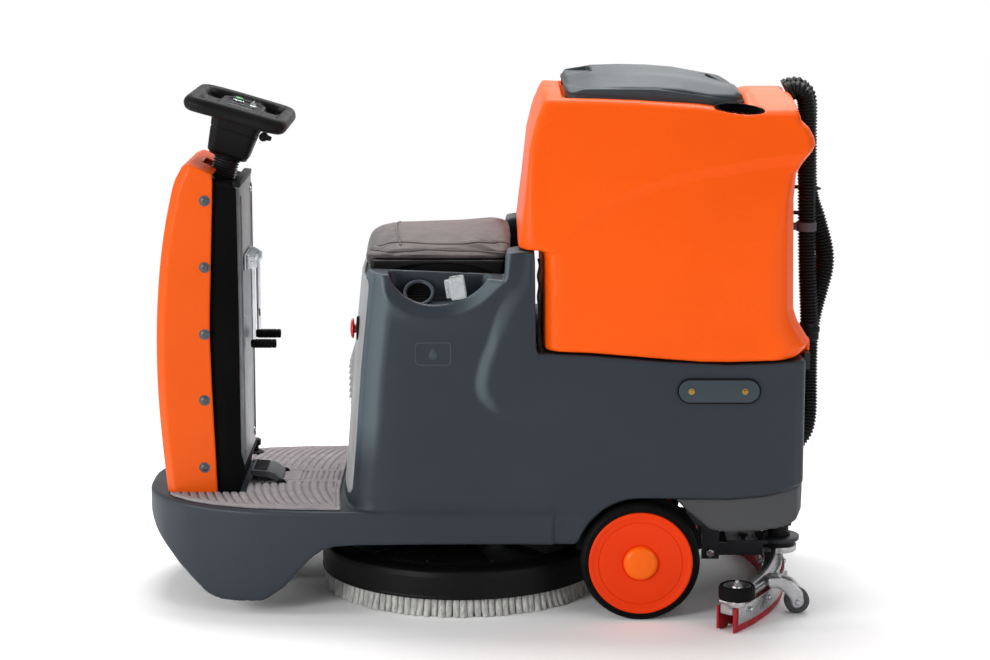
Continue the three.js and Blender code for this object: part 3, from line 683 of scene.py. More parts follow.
def metal(name, rgb, rough, stretch, scratches, tone, rust=0, metallic=1.0):
    """metal with tone patches and fine scratches, stretched where it is brushed"""
    sh = Shader(name)
    base = srgb(*rgb)
    colour = sh.ramp(sh.noise(scale=30, detail=5, rough=0.6),
                     (0.35, tint(base, 1 - 2.2 * tone)), (0.65, tint(base, 1 + tone)))
    if rust > 0:
        patches = sh.noise(scale=55, detail=6, rough=0.7)
        colour = sh.mix(sh.remap(patches, (0.60, 0.75), (0, rust)), colour, srgb(96, 58, 38))
    sh.set(Base_Color=colour, Metallic=metallic)
    height = sh.noise(scale=420, detail=4, rough=0.7, stretch=stretch)
    sh.set(Roughness=sh.remap(sh.noise(scale=60, detail=4, rough=0.6, stretch=stretch),
                              (0.3, 0.75),
                              (max(0.03, rough - 0.1 * (1 + scratches)), rough + 0.14)))
    sh.set(Normal=sh.bump(height, strength=0.18 * scratches + 0.03, distance=0.0004))
    return sh.material


def rubber(name, rgb, rough, grain, relief, tone, dust, spec):
    """matt rubber with grain and dusty patches"""
    sh = Shader(name)
    base = srgb(*rgb)
    sh.set(Specular_IOR_Level=spec)
    colour = sh.ramp(sh.noise(scale=40, detail=4, rough=0.6),
                     (0.3, tint(base, 1 - tone)), (0.7, tint(base, 1 + tone)))
    patches = sh.noise(scale=16, detail=5, rough=0.65)
    colour = sh.mix(sh.remap(patches, (0.52, 0.78), (0, dust)), colour, tint(base, 2.6, 0.02))
    sh.set(Base_Color=colour)
    sh.set(Roughness=sh.remap(sh.noise(scale=30, detail=4, rough=0.6), (0.3, 0.7),
                              (rough - 0.1, min(1, rough + 0.1))))
    normal = sh.bump(sh.noise(scale=grain, rough=0.6), strength=relief, distance=0.0005)
    sh.set(Normal=sh.bump(sh.voronoi(scale=grain * 0.5), strength=relief * 0.4,
                          distance=0.0004, chain=normal))
    return sh.material


def vinyl(name, dark_rgb, light_rgb):
    """seat vinyl: pebble grain, soft sheen, rubbed lighter patches"""
    sh = Shader(name)
    dark, light = srgb(*dark_rgb), srgb(*light_rgb)
    colour = sh.ramp(sh.noise(scale=9, detail=5, rough=0.62), (0.34, dark), (0.66, light))
    pebble = sh.voronoi(scale=620)
    colour = sh.mix(sh.remap(pebble, (0, 0.25), (0.35, 0)), colour, tint(dark, 0.55))
    streak = sh.noise(scale=20, detail=5, rough=0.7, stretch=(1, 2.4, 1))
    colour = sh.mix(sh.remap(streak, (0.56, 0.78), (0, 0.35)), colour, tint(light, 1.5))
    sh.set(Base_Color=colour)
    sh.set(Roughness=sh.remap(sh.noise(scale=45, detail=4, rough=0.6), (0.3, 0.7), (0.52, 0.74)))
    sh.set(Sheen_Weight=0.25, Sheen_Roughness=0.5)
    normal = sh.bump(sh.remap(pebble, (0, 0.4), (0, 1)), strength=0.5, distance=0.0007)
    sh.set(Normal=sh.bump(sh.noise(scale=60, detail=4, rough=0.6), strength=0.25,
                          distance=0.0016, chain=normal))
    return sh.material


def bristle_material(name):
    """streaks down the bristles, a duller foot"""
    sh = Shader(name)
    colour = sh.ramp(sh.noise(scale=300, rough=0.6, stretch=(1, 1, 0.08)),
                     (0.3, srgb(140, 140, 138)), (0.6, srgb(200, 200, 197)))
    height = sh.split(sh.coords.outputs['Object'])['Z']
    foot = sh.remap(height, (0, 0.010), (0.28, 0))
    sh.set(Base_Color=sh.mix(foot, colour, srgb(168, 166, 160)),
           Roughness=0.5, Subsurface_Weight=0.08, Subsurface_Radius=(0.004, 0.004, 0.004))
    sh.set(Normal=sh.bump(sh.noise(scale=900, rough=0.6, stretch=(1, 1, 0.05)),
                          strength=0.35, distance=0.0006))
    return sh.material


def clear_material(name):
    sh = Shader(name)
    sh.set(Base_Color=sh.ramp(sh.noise(scale=60, detail=4, rough=0.6),
                              (0.3, srgb(206, 214, 216)), (0.7, srgb(240, 244, 245))))
    sh.set(Roughness=sh.remap(sh.noise(scale=90, detail=4), (0.3, 0.7), (0.10, 0.28)))
    sh.set(Transmission_Weight=0.55, IOR=1.45, Specular_IOR_Level=0.6)
    sh.set(Normal=sh.bump(sh.noise(scale=160), strength=0.12, distance=0.001))
    return sh.material


# key: name, sRGB, roughness, tone drift, grain scale, grain relief, edge wear and painted
# edge light and shade, specular, coat, painted forward sheen
MOULDED = {
    # slate's last value paints a sheen on flanks that face forwards
    'slate': ('slate_moulded', (36, 45, 54), 0.46, 0.05, 700, 0.22, 0.26, 0.36, 0.02, 0.42),
    'slate_panel': ('slate_panel', (52, 63, 71), 0.48, 0.05, 800, 0.22, 0.20, 0.35),
    'orange': ('tank_orange', (255, 92, 4), 0.42, 0.030, 600, 0.10, 0.14, 0.17, 0.02),
    'cover': ('cover_orange', (228, 86, 5), 0.42, 0.035, 700, 0.10, 0.08, 0.18, 0.02),
    'lid': ('lid_grey', (50, 58, 62), 0.50, 0.05, 900, 0.25, 0.22, 0.35),
    'skirt': ('skirt_grey', (72, 73, 76), 0.58, 0.05, 900, 0.30, 0.14, 0.3),
    'black': ('black_plastic', (8, 8, 9), 0.48, 0.10, 900, 0.22, 0.12, 0.16),
    'gloss': ('black_gloss', (6, 6, 7), 0.30, 0.10, 900, 0.10, 0.16, 0.24, 0.04),
    'cover_grey': ('cover_grey', (150, 152, 154), 0.46, 0.05, 900, 0.22, 0.10, 0.35),
    'hub': ('hub_orange', (236, 58, 2), 0.40, 0.03, 700, 0.06, 0.10, 0.14, 0.02),
    'dome': ('hub_dome', (255, 104, 3), 0.36, 0.03, 700, 0.05, 0.10, 0.20, 0.04),
    'red': ('red_button', (200, 22, 28), 0.30, 0.04, 900, 0.08, 0.10, 0.5, 0.3),
    'green': ('green_button', (38, 150, 72), 0.30, 0.05, 900, 0.08, 0.10, 0.5, 0.3),
    'white': ('white_plastic', (222, 222, 218), 0.40, 0.04, 800, 0.12, 0.10, 0.5),
    'battery': ('battery_case', (34, 36, 40), 0.48, 0.08, 800, 0.25, 0.16, 0.5),
    # dark_inner: dark parts, and also the painted shade shell inside the tank's hand recesses
    'dark': ('dark_inner', (9, 9, 10), 0.80, 0.10, 500, 0.2, 0.05, 0.15),
    'core': ('column_core_black', (4, 4, 5), 0.66, 0.12, 700, 0.25, 0.10, 0.05),
}
# key: name, sRGB, roughness, grain stretch, scratches, tone drift, rust, metallic
METALS = {
    'alu': ('cast_alu', (190, 190, 192), 0.36, (1, 6, 6), 0.6, 0.08),
    'steel': ('frame_steel', (52, 54, 58), 0.52, (1, 1, 1), 0.5, 0.12, 0.12, 0.5),
    'bright': ('bright_steel', (196, 198, 202), 0.26, (1, 1, 1), 0.5, 0.06),
    'chrome': ('chrome_bar', (214, 217, 221), 0.14, (1, 1, 0.2), 0.4, 0.04),
    'brass': ('brass_screw', (196, 158, 84), 0.30, (1, 1, 1), 0.6, 0.08),
    'panel': ('panel_grey', (128, 130, 134), 0.42, (1, 8, 0.4), 0.5, 0.07, 0, 0.7),
    'lead': ('lead_post', (128, 128, 130), 0.45, (1, 1, 1), 0.6, 0.1),
    'gear': ('gear_grey', (96, 99, 104), 0.5, (1, 1, 1), 0.7, 0.1, 0, 0.8),
}
# key: name, sRGB, roughness, grain scale, grain relief, tone drift, dust, specular
RUBBERS = {
    'mat': ('mat_rubber', (150, 144, 146), 0.88, 1100, 0.9, 0.12, 0.20, 0.22),
    'rubber': ('hose_rubber', (15, 15, 16), 0.50, 900, 0.25, 0.15, 0.10, 0.22),
    'tyre': ('tyre_rubber', (8, 8, 9), 0.72, 600, 0.5, 0.2, 0.08, 0.12),
    'blade': ('blade_red', (170, 32, 44), 0.48, 900, 0.25, 0.08, 0.08, 0.22),
    'boot': ('boot_rubber', (30, 30, 32), 0.42, 900, 0.25, 0.15, 0.10, 0.6),
    'grip': ('grip_black', (7, 7, 8), 0.62, 800, 0.35, 0.2, 0.05, 0.10),
    'cable_red': ('cable_red', (168, 26, 24), 0.5, 700, 0.2, 0.1, 0.1, 0.22),
}
# key: name, dark sRGB, light sRGB
VINYLS = {
    'vinyl': ('seat_vinyl', (46, 39, 39), (67, 58, 58)),
    'piping': ('seat_piping', (70, 60, 60), (96, 86, 86)),
}
for make, table in ((moulded, MOULDED), (metal, METALS), (rubber, RUBBERS), (vinyl, VINYLS)):
    for key, row in table.items():
        FINISH[key] = make(*row)
FINISH['bristle'] = bristle_material('brush_bristle')
FINISH['clear'] = clear_material('clear_plastic')

# ---------------------------------------------------------------- main body shell
# Outlines are (x, y) in plan and (x, z) from the side, with an optional corner radius.
NOSE = catmull([(-688, 0), (-687, 42), (-681, 82), (-666, 122), (-641, 163), (-598, 207),
                (-545, 239), (-470, 265), (-380, 279), (-280, 286), (-180, 289)], 7)
low_plan = outline(mirrored(list(NOSE) + [(700, 289)]), 4)
seat_plan = outline(mirrored([
    (-293, 60, 60), (-290, 120, 60), (-281, 200, 40), (-264, 252, 40), (-236, 280, 40),
    (-190, 289, 60), (800, 289)]), 4)
rear_plan = outline(mirrored([
    (-900, 289), (572, 289, 30), (603, 262, 24), (609, 200, 30), (612, 60)]), 4)
low_side = outline([
    (-760, 213), (-760, 230), (-700, 183), (-690, 166, 10), (-668, 134, 30), (-616, 86, 60),
    (-556, 36, 40), (-530, 28, 10), (-495, 27.5, 20), (-445, 31, 14), (-433, 38, 12),
    (-400, 62, 30), (-370, 98, 40), (-351, 118, 20), (-327, 136, 20), (-302, 144, 20),
    (-254, 147, 20), (165, 148, 12), (194, 194, 30), (225, 218, 30), (265, 234, 30),
    (310, 239.5, 30), (459, 238.5, 40), (524, 244.5, 40), (568, 255, 40), (640, 273),
    (640, 900), (-760, 900)], 3)
top_side = outline([
    (-400, 100), (640, 100), (640, 505), (604, 505), (592, 508.5, 10), (540, 504.5, 20),
    (454, 501.5, 40), (323, 508, 40), (192, 519, 20), (99, 523.5, 5), (90, 523, 3),
    (85, 534, 3), (84, 600), (83, 700, 0), (82, 716, 7), (70, 720, 5), (47, 719, 3),
    (31, 716, 5), (27, 700), (25.5, 664.5, 4), (-216, 674.5, 0), (-300, 676), (-400, 676)], 3)
# edge (x, z) in the flank, from the top down: behind it the side stands out
FLANK_EDGE = np.array([
    (64, 745), (50, 705), (28, 662), (6, 606), (-12, 548), (-27, 510), (-35, 475), (-35, 450),
    (-28, 430), (-8, 409), (20, 393), (80, 377), (170, 364), (300, 356)], float)
FLANK_LINE = fillet(FLANK_EDGE, corner=30, seg=3, closed=False)


def seat_lean(z):
    """how far the seat box front has moved back at a height"""
    return np.interp(z, [205, 330, 480, 588, 676], [0, 11, 22, 33, 42.0])


def flank_step(X, Z):
    """0 ahead of the flank edge, easing to 1 behind it"""
    rising = np.delete(FLANK_EDGE, 1, axis=0)[::-1]
    foot = np.vstack([FLANK_EDGE[7:], (700, 340)])
    behind = X > np.interp(Z, rising[:, 1], rising[:, 0])
    behind &= (Z > np.interp(X, foot[:, 0], foot[:, 1])) | (Z > 450)
    distance = line_distance(X, Z, FLANK_LINE, closed=False)
    width = 36 + 0.5 * np.clip(X - 10, 0, 120)
    return np.maximum(np.where(behind, ease(distance / width), 0), ease((X - 40) / 230))


flank_field = PlaneField(flank_step, (-420, 180), (660, 760), 3.0)
# bowl in each flank beside the seat: outer rim and inner opening
BOWL_RIM = catmull([(-226, 700), (-221, 674), (-206, 643), (-180, 617), (-146, 600),
                    (-103, 593), (-64, 599), (-28, 616), (4, 643), (28, 668), (34, 700)], 7)
BOWL_HOLE = catmull([(-201, 700), (-196, 674), (-183, 650), (-162, 631), (-136, 619),
                     (-108, 615), (-78, 619), (-46, 630), (-18, 651), (-4, 674), (-2, 700)], 7)
bowl_rim = outline(list(BOWL_RIM) + [(34, 800), (-226, 800)])
bowl_hole = outline(list(BOWL_HOLE) + [(-2, 800), (-201, 800)])


def body_width(x, z):
    """half width of the body"""
    width = 277.0 + 12.0 * flank_field(x, z) + 6.5 * unit((230 - z) / 26) * (x < 120)
    width = width + 3.0 * unit((217 - z) / 4) * (1 - unit((x + 250) / 200))
    rim = bowl_rim(x, z)
    # swell round the bowl, then the dish inside it
    width = width + 4.0 * np.exp(-(np.maximum(rim, 0) / 18.0) ** 2) * unit((z - 540) / 30)
    depth = unit(-rim / np.maximum(-rim + np.maximum(bowl_hole(x, z), 0), 1e-3))
    width = width - np.where(rim < 0, 15.0 * depth ** 0.75, 0)
    tuck = unit((190 - z) / 60)
    return width - 2.5 * tuck * tuck


def body_field(points):
    x, y, z = fold(points)
    width = body_width(x, z)
    side = y - width
    seat = seat_plan(x - seat_lean(z), y)
    rear, under, top = rear_plan(x, y), low_side(x, z), top_side(x, z)
    deck = low_plan(x, y)
    low = meet(meet(meet(deck, side, 3), z - 212, 6), under, 5)
    high = meet(meet(seat, rear, 6), side, 14)
    high = np.maximum(meet(meet(high, top, 6), under, 6), 190 - z)
    shape = meet(fuse(low, high, 5), rear, 4)
    shape = carve(
        shape,
        overlap(deck + 8, z - 204, x + 296),                               # nose
        overlap(np.abs(x - 150) - 447, y - 269, z - 204),                  # middle
        overlap(seat + 9, x - 76, 203 - z, z - 592, y - 268),              # seat box
        overlap(90 - x, rear + 9, y - np.minimum(width - 9, 274.5), 203 - z, top + 9),
        overlap(np.abs(x - 82) - 13, y - 272, np.abs(z - 250) - 50),       # passage between
        meet(meet(np.abs(x + 78) - 154, y - 196, 12), np.abs(z - 680) - 90, 2),
        overlap(x - 40, y - 196, 651 - z),                                 # seat pan recess
        overlap(26 - x, x - 95, y - 202, 651 - z))                         # behind the seat
    tray = meet(meet(np.abs(x + 101) - 96, np.abs(y - 232.5) - 26, 14), 616.5 - z, 4)
    shape = cut(shape, tray, 3)
    shape = cut(shape, np.maximum(bowl_hole(x, z), 208 - y), 2.5)
    wheel_well = np.maximum(np.hypot(x - WHEEL_X, z - WHEEL_R) - 125, 232 - y)
    shape = cut(shape, wheel_well, 2.5)
    hose_notch = meet(meet(595 - x, y - 44, 12), np.abs(z - 262) - 66, 12)
    shape = cut(shape, hose_notch, 3)
    steering_hole = np.maximum(np.hypot(x - DRIVE_X, y) - 22, 190 - z)
    axle_slot = np.maximum(np.abs(x - WHEEL_X) - 12, np.abs(z - 112) - 18)
    return carve(shape, steering_hole, axle_slot)


finish(solid('body_shell', body_field, (-690, -292, 24), (614, 292, 724), 4.6, 'slate', 1.7),
       'chassis', 'slate_body', 'main_body')

# ---------------------------------------------------------------- recovery tank
tank_side = outline([
    (98, 527.5, 7), (192, 524, 20), (323, 513, 40), (401, 507, 30), (454, 506.5, 30),
    (540, 509, 20), (598, 513.5, 6), (617, 535, 8), (593, 573, 30), (584, 600, 40),
    (583, 641, 20), (580, 814, 30), (584, 862, 30), (598, 884, 16), (613, 902, 10),
    (620, 916, 8), (617, 930, 12), (607, 948, 16), (594, 962, 14), (589, 975, 12),
    (588, 992, 10), (583, 1003, 6), (574, 1006, 12), (510, 1005.5, 10), (492, 1001, 10),
    (481, 989.5, 6), (460, 990, 20), (394, 999, 30), (280, 1007, 30), (205, 1010, 20),
    (130, 1011, 10), (104, 1012, 9), (97, 1000, 10), (86, 972, 20), (71, 909, 30),
    (61, 814, 20), (56, 774, 10), (50, 722, 5), (97, 720, 4)], 2.5)
TANK_FRONT = catmull([(44, 0), (44, 120), (45, 190), (47, 228), (51, 250), (60, 268),
                      (76, 281), (100, 287.5), (140, 289)], 6)
tank_front_plan = outline(mirrored(list(TANK_FRONT) + [(900, 289)]), 3)
tank_rear_plan = outline(mirrored([
    (-200, 289), (560, 289, 30), (596, 268, 26), (617, 215, 24), (622, 120)]), 4)
# crease (x, z) rising along each side
CREASE = catmull([(60, 684), (110, 730), (150.4, 764), (190, 794), (227.5, 818), (268, 837),
                  (310.3, 852), (346, 863), (382, 871.5), (430, 880), (478, 887.5),
                  (520, 893.5), (563, 899.5), (640, 910)], 8)


def tank_front_x(z):
    return np.interp(z, [505, 716, 722, 774, 814, 909, 972, 1010],
                     [97, 97, 50, 56, 61, 71, 86, 99.0])


def tank_rear_x(z):
    return np.interp(z, [508, 520, 535, 573, 600, 641, 814, 862, 884, 902, 916, 930, 948, 962,
                         992, 1006],
                     [598, 606, 617, 593, 584, 583, 580, 584, 598, 613, 620, 617, 607, 594,
                      588, 580.0])


def tank_width(x, z):
    """half width of the tank"""
    width = np.interp(z, [500, 600, 680, 740, 800, 850, 900, 950, 985, 1012, 1030],
                      [286.5, 286.5, 284, 279, 269, 259, 246, 232, 221, 211, 205.0])
    swell = 15.0 * unit((x - 100) / 440) ** 0.9
    rise = z - np.interp(x, CREASE[:, 0], CREASE[:, 1])
    above = np.where(rise > 0, np.exp(-(rise / 66.0) ** 2), 1.0)
    # straight facet under the crease, then a slow recovery
    t = unit(-rise / 21.0)
    drop = np.where(t < 0.08, t * t / 0.16, t - 0.04) / 0.96
    back = ease((-rise - 24) / 70)
    width = width + swell * (above * 0.62 - 0.98 * drop * (1 - back) - 0.62 * drop * back)
    # flare at the lower rear corner, between two rising lines
    upper = np.interp(x, [300, 377.7, 472.4, 576.4, 640], [538, 555, 576.4, 599.5, 612])
    lower = np.interp(x, [380, 475, 539.7, 602, 640], [512, 524, 533.8, 545.5, 550])
    flare = 6.5 * unit((x - 330) / 240)
    return (width - flare + flare * ease((upper - z) / np.maximum(upper - lower, 5))
            + 0.6 * flare * unit((z - upper) / 160))


def hand_hole(x, y, z):
    """1 on the surface of the flat ellipsoid of each hand recess"""
    return np.sqrt(((x - 472) / 46) ** 2 + ((y - 208) / 30) ** 2
                   + ((z - 984 + 0.10 * (x - 472)) / 9.5) ** 2)


def tank_field(points):
    x, y, z = fold(points)
    width = tank_width(x, z)
    front = tank_front_plan(x - (tank_front_x(z) - 50), y)
    rear = tank_rear_plan(x + (617 - tank_rear_x(z)), y)
    droop = (9 + 15 * unit((x - 470) / 30)) * (y / 215) ** 2.2 * unit((z - 950) / 25)
    shape = meet(y - width, tank_side(x, z + droop), 12)
    shape = meet(meet(shape, front, 8), rear, 8)
    # channel for the hoses down the middle of the back
    shape = cut(shape, meet(577 - x, y - 62, 14), 8)
    # underside notch over the hinge, and a pair of lugs
    shape = carve(shape, overlap(596 - x, y - 240, z - 533))
    lug = overlap(599 - x, x - 618, np.abs(y - 168) - 18, z - 534, 502.5 - z)
    lug = np.maximum(lug, 5 - np.hypot(x - 612, z - 508))
    shape = np.minimum(shape, lug)
    # step round the lid, and the hand recesses behind it
    step = meet(meet(np.abs(x - 318) - 182, y - 196, 16), 1003.5 - 9 * (y / 215) ** 2.2 - z, 3)
    shape = cut(shape, np.maximum(step, np.abs(x - 318) - 190), 2.5)
    recess = hand_hole(x, y, z)
    shape = cut(shape, (recess - 1) * 9.5, 2)
    # inside and open neck
    cavity = overlap(y - width + 9, tank_side(x, z) + 9, front + 9, rear + 9, 720 - z,
                     -meet(569 - x, y - 71, 14), z - 976 + 9 * unit((x - 440) / 30))
    shape = carve(shape, np.maximum(cavity, (2.0 - recess) * 10))
    neck = meet(meet(np.abs(x - 315) - 155, y - 150, 18), 900 - z, 2)
    return cut(shape, neck, 3)


# painted shade: a thin dark shell just inside each hand recess darkens the hollow where shade
# falls
def hand_hole_shade_field(points):
    x, y, z = fold(points)
    recess = hand_hole(x, y, z)
    return np.maximum(np.maximum(recess - 1.06, 0.90 - recess) * 11,
                      y - tank_width(x, z) + 3.5)


finish(solid('tank_shell', tank_field, (40, -292, 500), (626, 292, 1016), 4.0, 'orange', 1.8),
       'recovery_tank', 'tank_orange', 'recovery_tank')
finish(solid('tank_hand_hole_painted_shade', hand_hole_shade_field, (420, -245, 968), (526, 245, 1000), 1.9,
             'dark', 0.6), 'recovery_tank', 'black_plastic')

# ---------------------------------------------------------------- tank lid
# the first LID_TOP_N points climb over the front and run back along the top
LID_SIDE = [
    (139, 1017, 3), (139, 1032, 5), (146, 1040, 8), (187, 1046, 14), (254, 1048, 30),
    (313, 1046.8, 30), (363, 1042.8, 30), (412, 1034, 20), (452, 1027, 20), (482, 1019, 8),
    (491, 1001, 5), (487, 991.5, 3), (426, 995.5), (321, 1009), (264, 1012)]
LID_TOP = np.array(LID_SIDE[1:11], float)
lid_side = outline(LID_SIDE, 1.5)
lid_plan = outline(mirrored([
    (138, 150, 18), (150, 190, 16), (200, 193, 30), (420, 190, 60), (470, 176, 26),
    (491, 130, 20), (494, 0)]), 2.5)


def lid_field(points):
    x, y, z = fold(points)
    z = z + 7.5 * (y / 190) ** 2.4
    plan, side = lid_plan(x, y), lid_side(x, z)
    # shoulders stand a little proud of a shallow crown
    crown = (13 * (y / 190) ** 2.2 + 6 * (y / 190) ** 8 - 3.5 * np.exp(-((y - 130) / 30) ** 2)
             + 10 * unit((200 - x) / 60) * unit((y - 70) / 60))
    brim_z = np.interp(x, [138, 210, 314, 421, 492], [1027, 1028, 1027, 1012, 996.5])
    top = meet(lid_side(x, z + crown), plan + 1.5 * unit((z - brim_z - 2) / 8), 9)
    brim = meet(meet(side, plan, 4), z - brim_z, 3)
    shape = fuse(brim, meet(top, plan, 4), 1.5)
    # sunken hinge pocket between the shoulders at the front
    shape = cut(shape, meet(meet(y - 72, np.abs(x - 168) - 27, 8), 1035.5 - z, 2), 2)
    # rear facet behind a chevron-shaped edge
    above = z - (np.interp(x, LID_TOP[:, 0], LID_TOP[:, 1]) - crown)
    facet = above + 0.34 * np.clip(x - (404 + 66 * y / 150), -14, 26) - 0.2
    shape = meet(shape, facet, 1.0)
    scoop = meet(meet(np.abs(x - 450) - 24, y - 60, 10), 1017 - 0.28 * (x - 447) - z, 5)
    shape = cut(shape, scoop, 3)
    # shadow line round the side
    shape = cut(shape, np.maximum(np.abs(z - brim_z - 1.6) - 1.7, -plan - 3.6), 0.6)
    # hollow underneath
    return carve(shape, overlap(plan + 14, lid_side(x, z + crown + 8) + 2,
                                np.abs(x - 280) - 125, y - 176, z - 1028))


finish(solid('lid_shell', lid_field, (136, -195, 988), (496, 195, 1056), 2.3, 'lid', 1.8),
       'tank_lid', 'lid_grey', 'tank_lid')

# ---------------------------------------------------------------- rear skirt
skirt_plan = outline(mirrored([
    (300, 273), (556, 273, 26), (590, 263, 20), (605, 226, 20), (607, 60)]), 3)
skirt_side = outline([
    (354, 320), (354, 236, 4), (378, 211, 10), (405, 189, 16), (421, 174, 8), (454, 169, 14),
    (520, 171, 30), (564, 178, 30), (594, 190, 10), (607, 205, 10), (610, 240), (610, 320)])


def skirt_field(points):
    x, y, z = fold(points)
    plan = skirt_plan(x, y)
    top_z = np.interp(x, [300, 459, 524, 568, 606], [237.5, 235.5, 241.5, 252.5, 262])
    shape = meet(meet(plan, skirt_side(x, z), 9), z - top_z, 2)
    shape = carve(shape, np.maximum(plan + 6.5, 166 - z))
    # tongue standing up inside the body
    tongue = overlap(plan + 2.6, -plan - 8.6, z - 284, 222 - z, 392 - x, y - 270.4)
    shape = np.minimum(shape, tongue)
    shape = cut(shape, meet(y - 50, np.maximum(206 - z, 590 - x), 6), 3)
    return carve(shape, overlap(560 - x, x - 601, y - 232, z - 203))


finish(solid('skirt_shell', skirt_field, (350, -275, 165), (609, 275, 288), 3.2, 'skirt', 1.8),
       'chassis', 'skirt_grey', 'rear_skirt')

# ---------------------------------------------------------------- floor mat with curved ribs
mat_plan = outline(mirrored([
    (-672, 40, 40), (-669, 58, 30), (-653, 112, 40), (-628, 157, 40), (-590, 196, 40),
    (-540, 226, 50), (-468, 252, 60), (-380, 264, 60), (-291, 268, 4), (-296, 200, 20),
    (-301, 120, 40), (-302, 0)]))


def mat_field(points):
    x, y, z = fold(points)
    plan = mat_plan(x, y)
    # curved grooves at a 16.2 pitch, either side of the middle
    bend = unit((y - 50) / 205)
    u = x - 40 * bend ** 1.9 - 16 * unit((y - 222) / 30) ** 2
    groove = unit((3.0 - np.abs(np.mod(u, 16.2) - 8.1)) / 1.5)
    groove = groove * (unit((y - 52) / 1.5) * unit((-plan - 12) / 1.5))
    # straight cross grooves behind the pedal, with an outlined patch ahead of them
    cross = (unit((2.6 - np.abs(np.mod(x + 302, 11.4) - 5.7)) / 1.4) * unit((38 - y) / 1.5)
             * (x > -384) * (x < -306))
    patch = unit((2.2 - np.abs(np.maximum(y - 42, np.abs(x + 404) - 19))) / 1.4)
    rim = unit((1.8 - np.abs(plan + 7.5)) / 1.2)
    top = 218.0 - 3.6 * np.maximum(np.maximum(groove, cross), patch) - 1.4 * rim
    shape = np.maximum(meet(plan, (z - top) * 0.75, 1.4), 212.4 - z)
    # room for the column and the foot button
    button_hole = np.hypot(x + 500, points[:, 1] - 205) - 19
    return carve(shape, meet(x + 487.5, y - 139.5, 3), button_hole)


finish(solid('deck_mat', mat_field, (-674, -270, 211), (-288, 270, 220), 1.8, 'mat', 1.6),
       'chassis', 'mat_grey', 'floor_mat')

# ---------------------------------------------------------------- steering column cover
COVER_FRONT = list(catmull([
    (-644.5, 212.6), (-652, 290), (-658.5, 380), (-661, 460), (-660, 540), (-656, 610),
    (-649, 680), (-639, 745), (-628, 798), (-619, 832), (-607, 856)], 6))
COVER_TOP = [(-601, 864, 6), (-588, 869, 8), (-566, 861, 20), (-543, 849, 5)]
COVER_BACK = list(catmull([
    (-541.5, 833), (-545, 742), (-549, 642), (-552.5, 543), (-551, 460), (-549.5, 402),
    (-546, 305), (-543, 212.6)], 6))
cover_side = outline(COVER_FRONT + COVER_TOP + COVER_BACK)
cover_front = outline(COVER_FRONT + [(-594, 900), (-560, 960), (-300, 960), (-300, 0),
                                     (-644, 0)])


def cover_field(points):
    x, y, z = fold(points)
    side, front = cover_side(x, z), cover_front(x, z)
    chamfer = (front + (y - 136.5) * 0.85 + 17) * 0.76
    shape = meet(meet(side, y - 136.5, 2.2), chamfer, 1.6)
    shape = meet(shape, front, 3)
    hollow = np.minimum(overlap(side + 5, y - 131.5, chamfer + 5, 206 - z),
                        overlap(-560 - x, y - 131.5, 206 - z, z - 846))
    shape = carve(shape, hollow)
    return cut(shape, meet(np.maximum(y - 40, -572 - x), 842 - z, 4), 3)


finish(solid('column_cover', cover_field, (-664, -138, 212), (-538, 138, 880), 3.0, 'cover',
             1.8), 'chassis', 'cover_orange', 'column_front_cover')

# ---------------------------------------------------------------- column core and rear sheet
CORE = [(-543, 212.8), (-550, 402, 60), (-552.8, 543, 60), (-549, 642, 60), (-541.8, 831, 4),
        (-498, 821, 6), (-497, 601, 40), (-497, 289, 8), (-488, 258, 8), (-500, 226, 6),
        (-501, 212.8)]
finish(slab(fillet(CORE, seg=4), -126, 126, 'core', 2.5, 3, name='column_core_box'),
       'chassis', 'black_plastic', 'column_core')
SHEET = [(-502.5, 262, 2), (-502.5, 820), (-503, 829, 2), (-491, 827.5, 2), (-491.5, 671),
         (-489.8, 477), (-490.3, 262, 2)]
SHEET_CAP = [(-504.5, 822), (-504.5, 833), (-489.5, 831.5), (-489.8, 821)]
SHEET_RIB = [(-490.6, 276), (-490.6, 806), (-487.8, 802), (-487.8, 280)]
SHEET_SCREW = [(0, 3.2), (3, 3.0), (5, 1.6), (5.4, 0), (0, 0)]
parts = [slab(fillet(SHEET, seg=3), -116, 116, 'panel', 1.6, 3),
         slab(SHEET_CAP, -117, 117, 'black', 1.5)]
parts += [slab(SHEET_RIB, y - 2.5, y + 2.5, 'panel', 1.0) for y in (-104, 104)]
parts += [revolve(SHEET_SCREW, 'bright', axis=X_AXIS, origin=(-490.4, y, z), sides=16)
          for z in (292, 560, 792) for y in (-92, 92)]
finish(join('column_rear_sheet_set', parts), 'chassis', 'panel_grey', 'column_rear_panel')

parts = []
for z in (798, 667, 534, 402, 266):
    x = float(np.interp(z, [266, 798], [-568, -557.5]))
    parts += [dome_screw((x, s * 136.3, z), s, 7.4, 'gear') for s in (-1, 1)]
finish(join('column_screws', parts), 'chassis', 'bright_steel')

# ---------------------------------------------------------------- steering wheel and head
# built upright round the head's own centre, then tilted
TILTED = Matrix.Translation(Vector(HEAD) * MM) @ Matrix.Rotation(TILT, 4, 'Y')
rim_outer = outline(mirrored([(104, 147, 44), (-104, 147, 44)]))
rim_inner = outline(mirrored([(74, 117, 26), (-74, 117, 26)]))


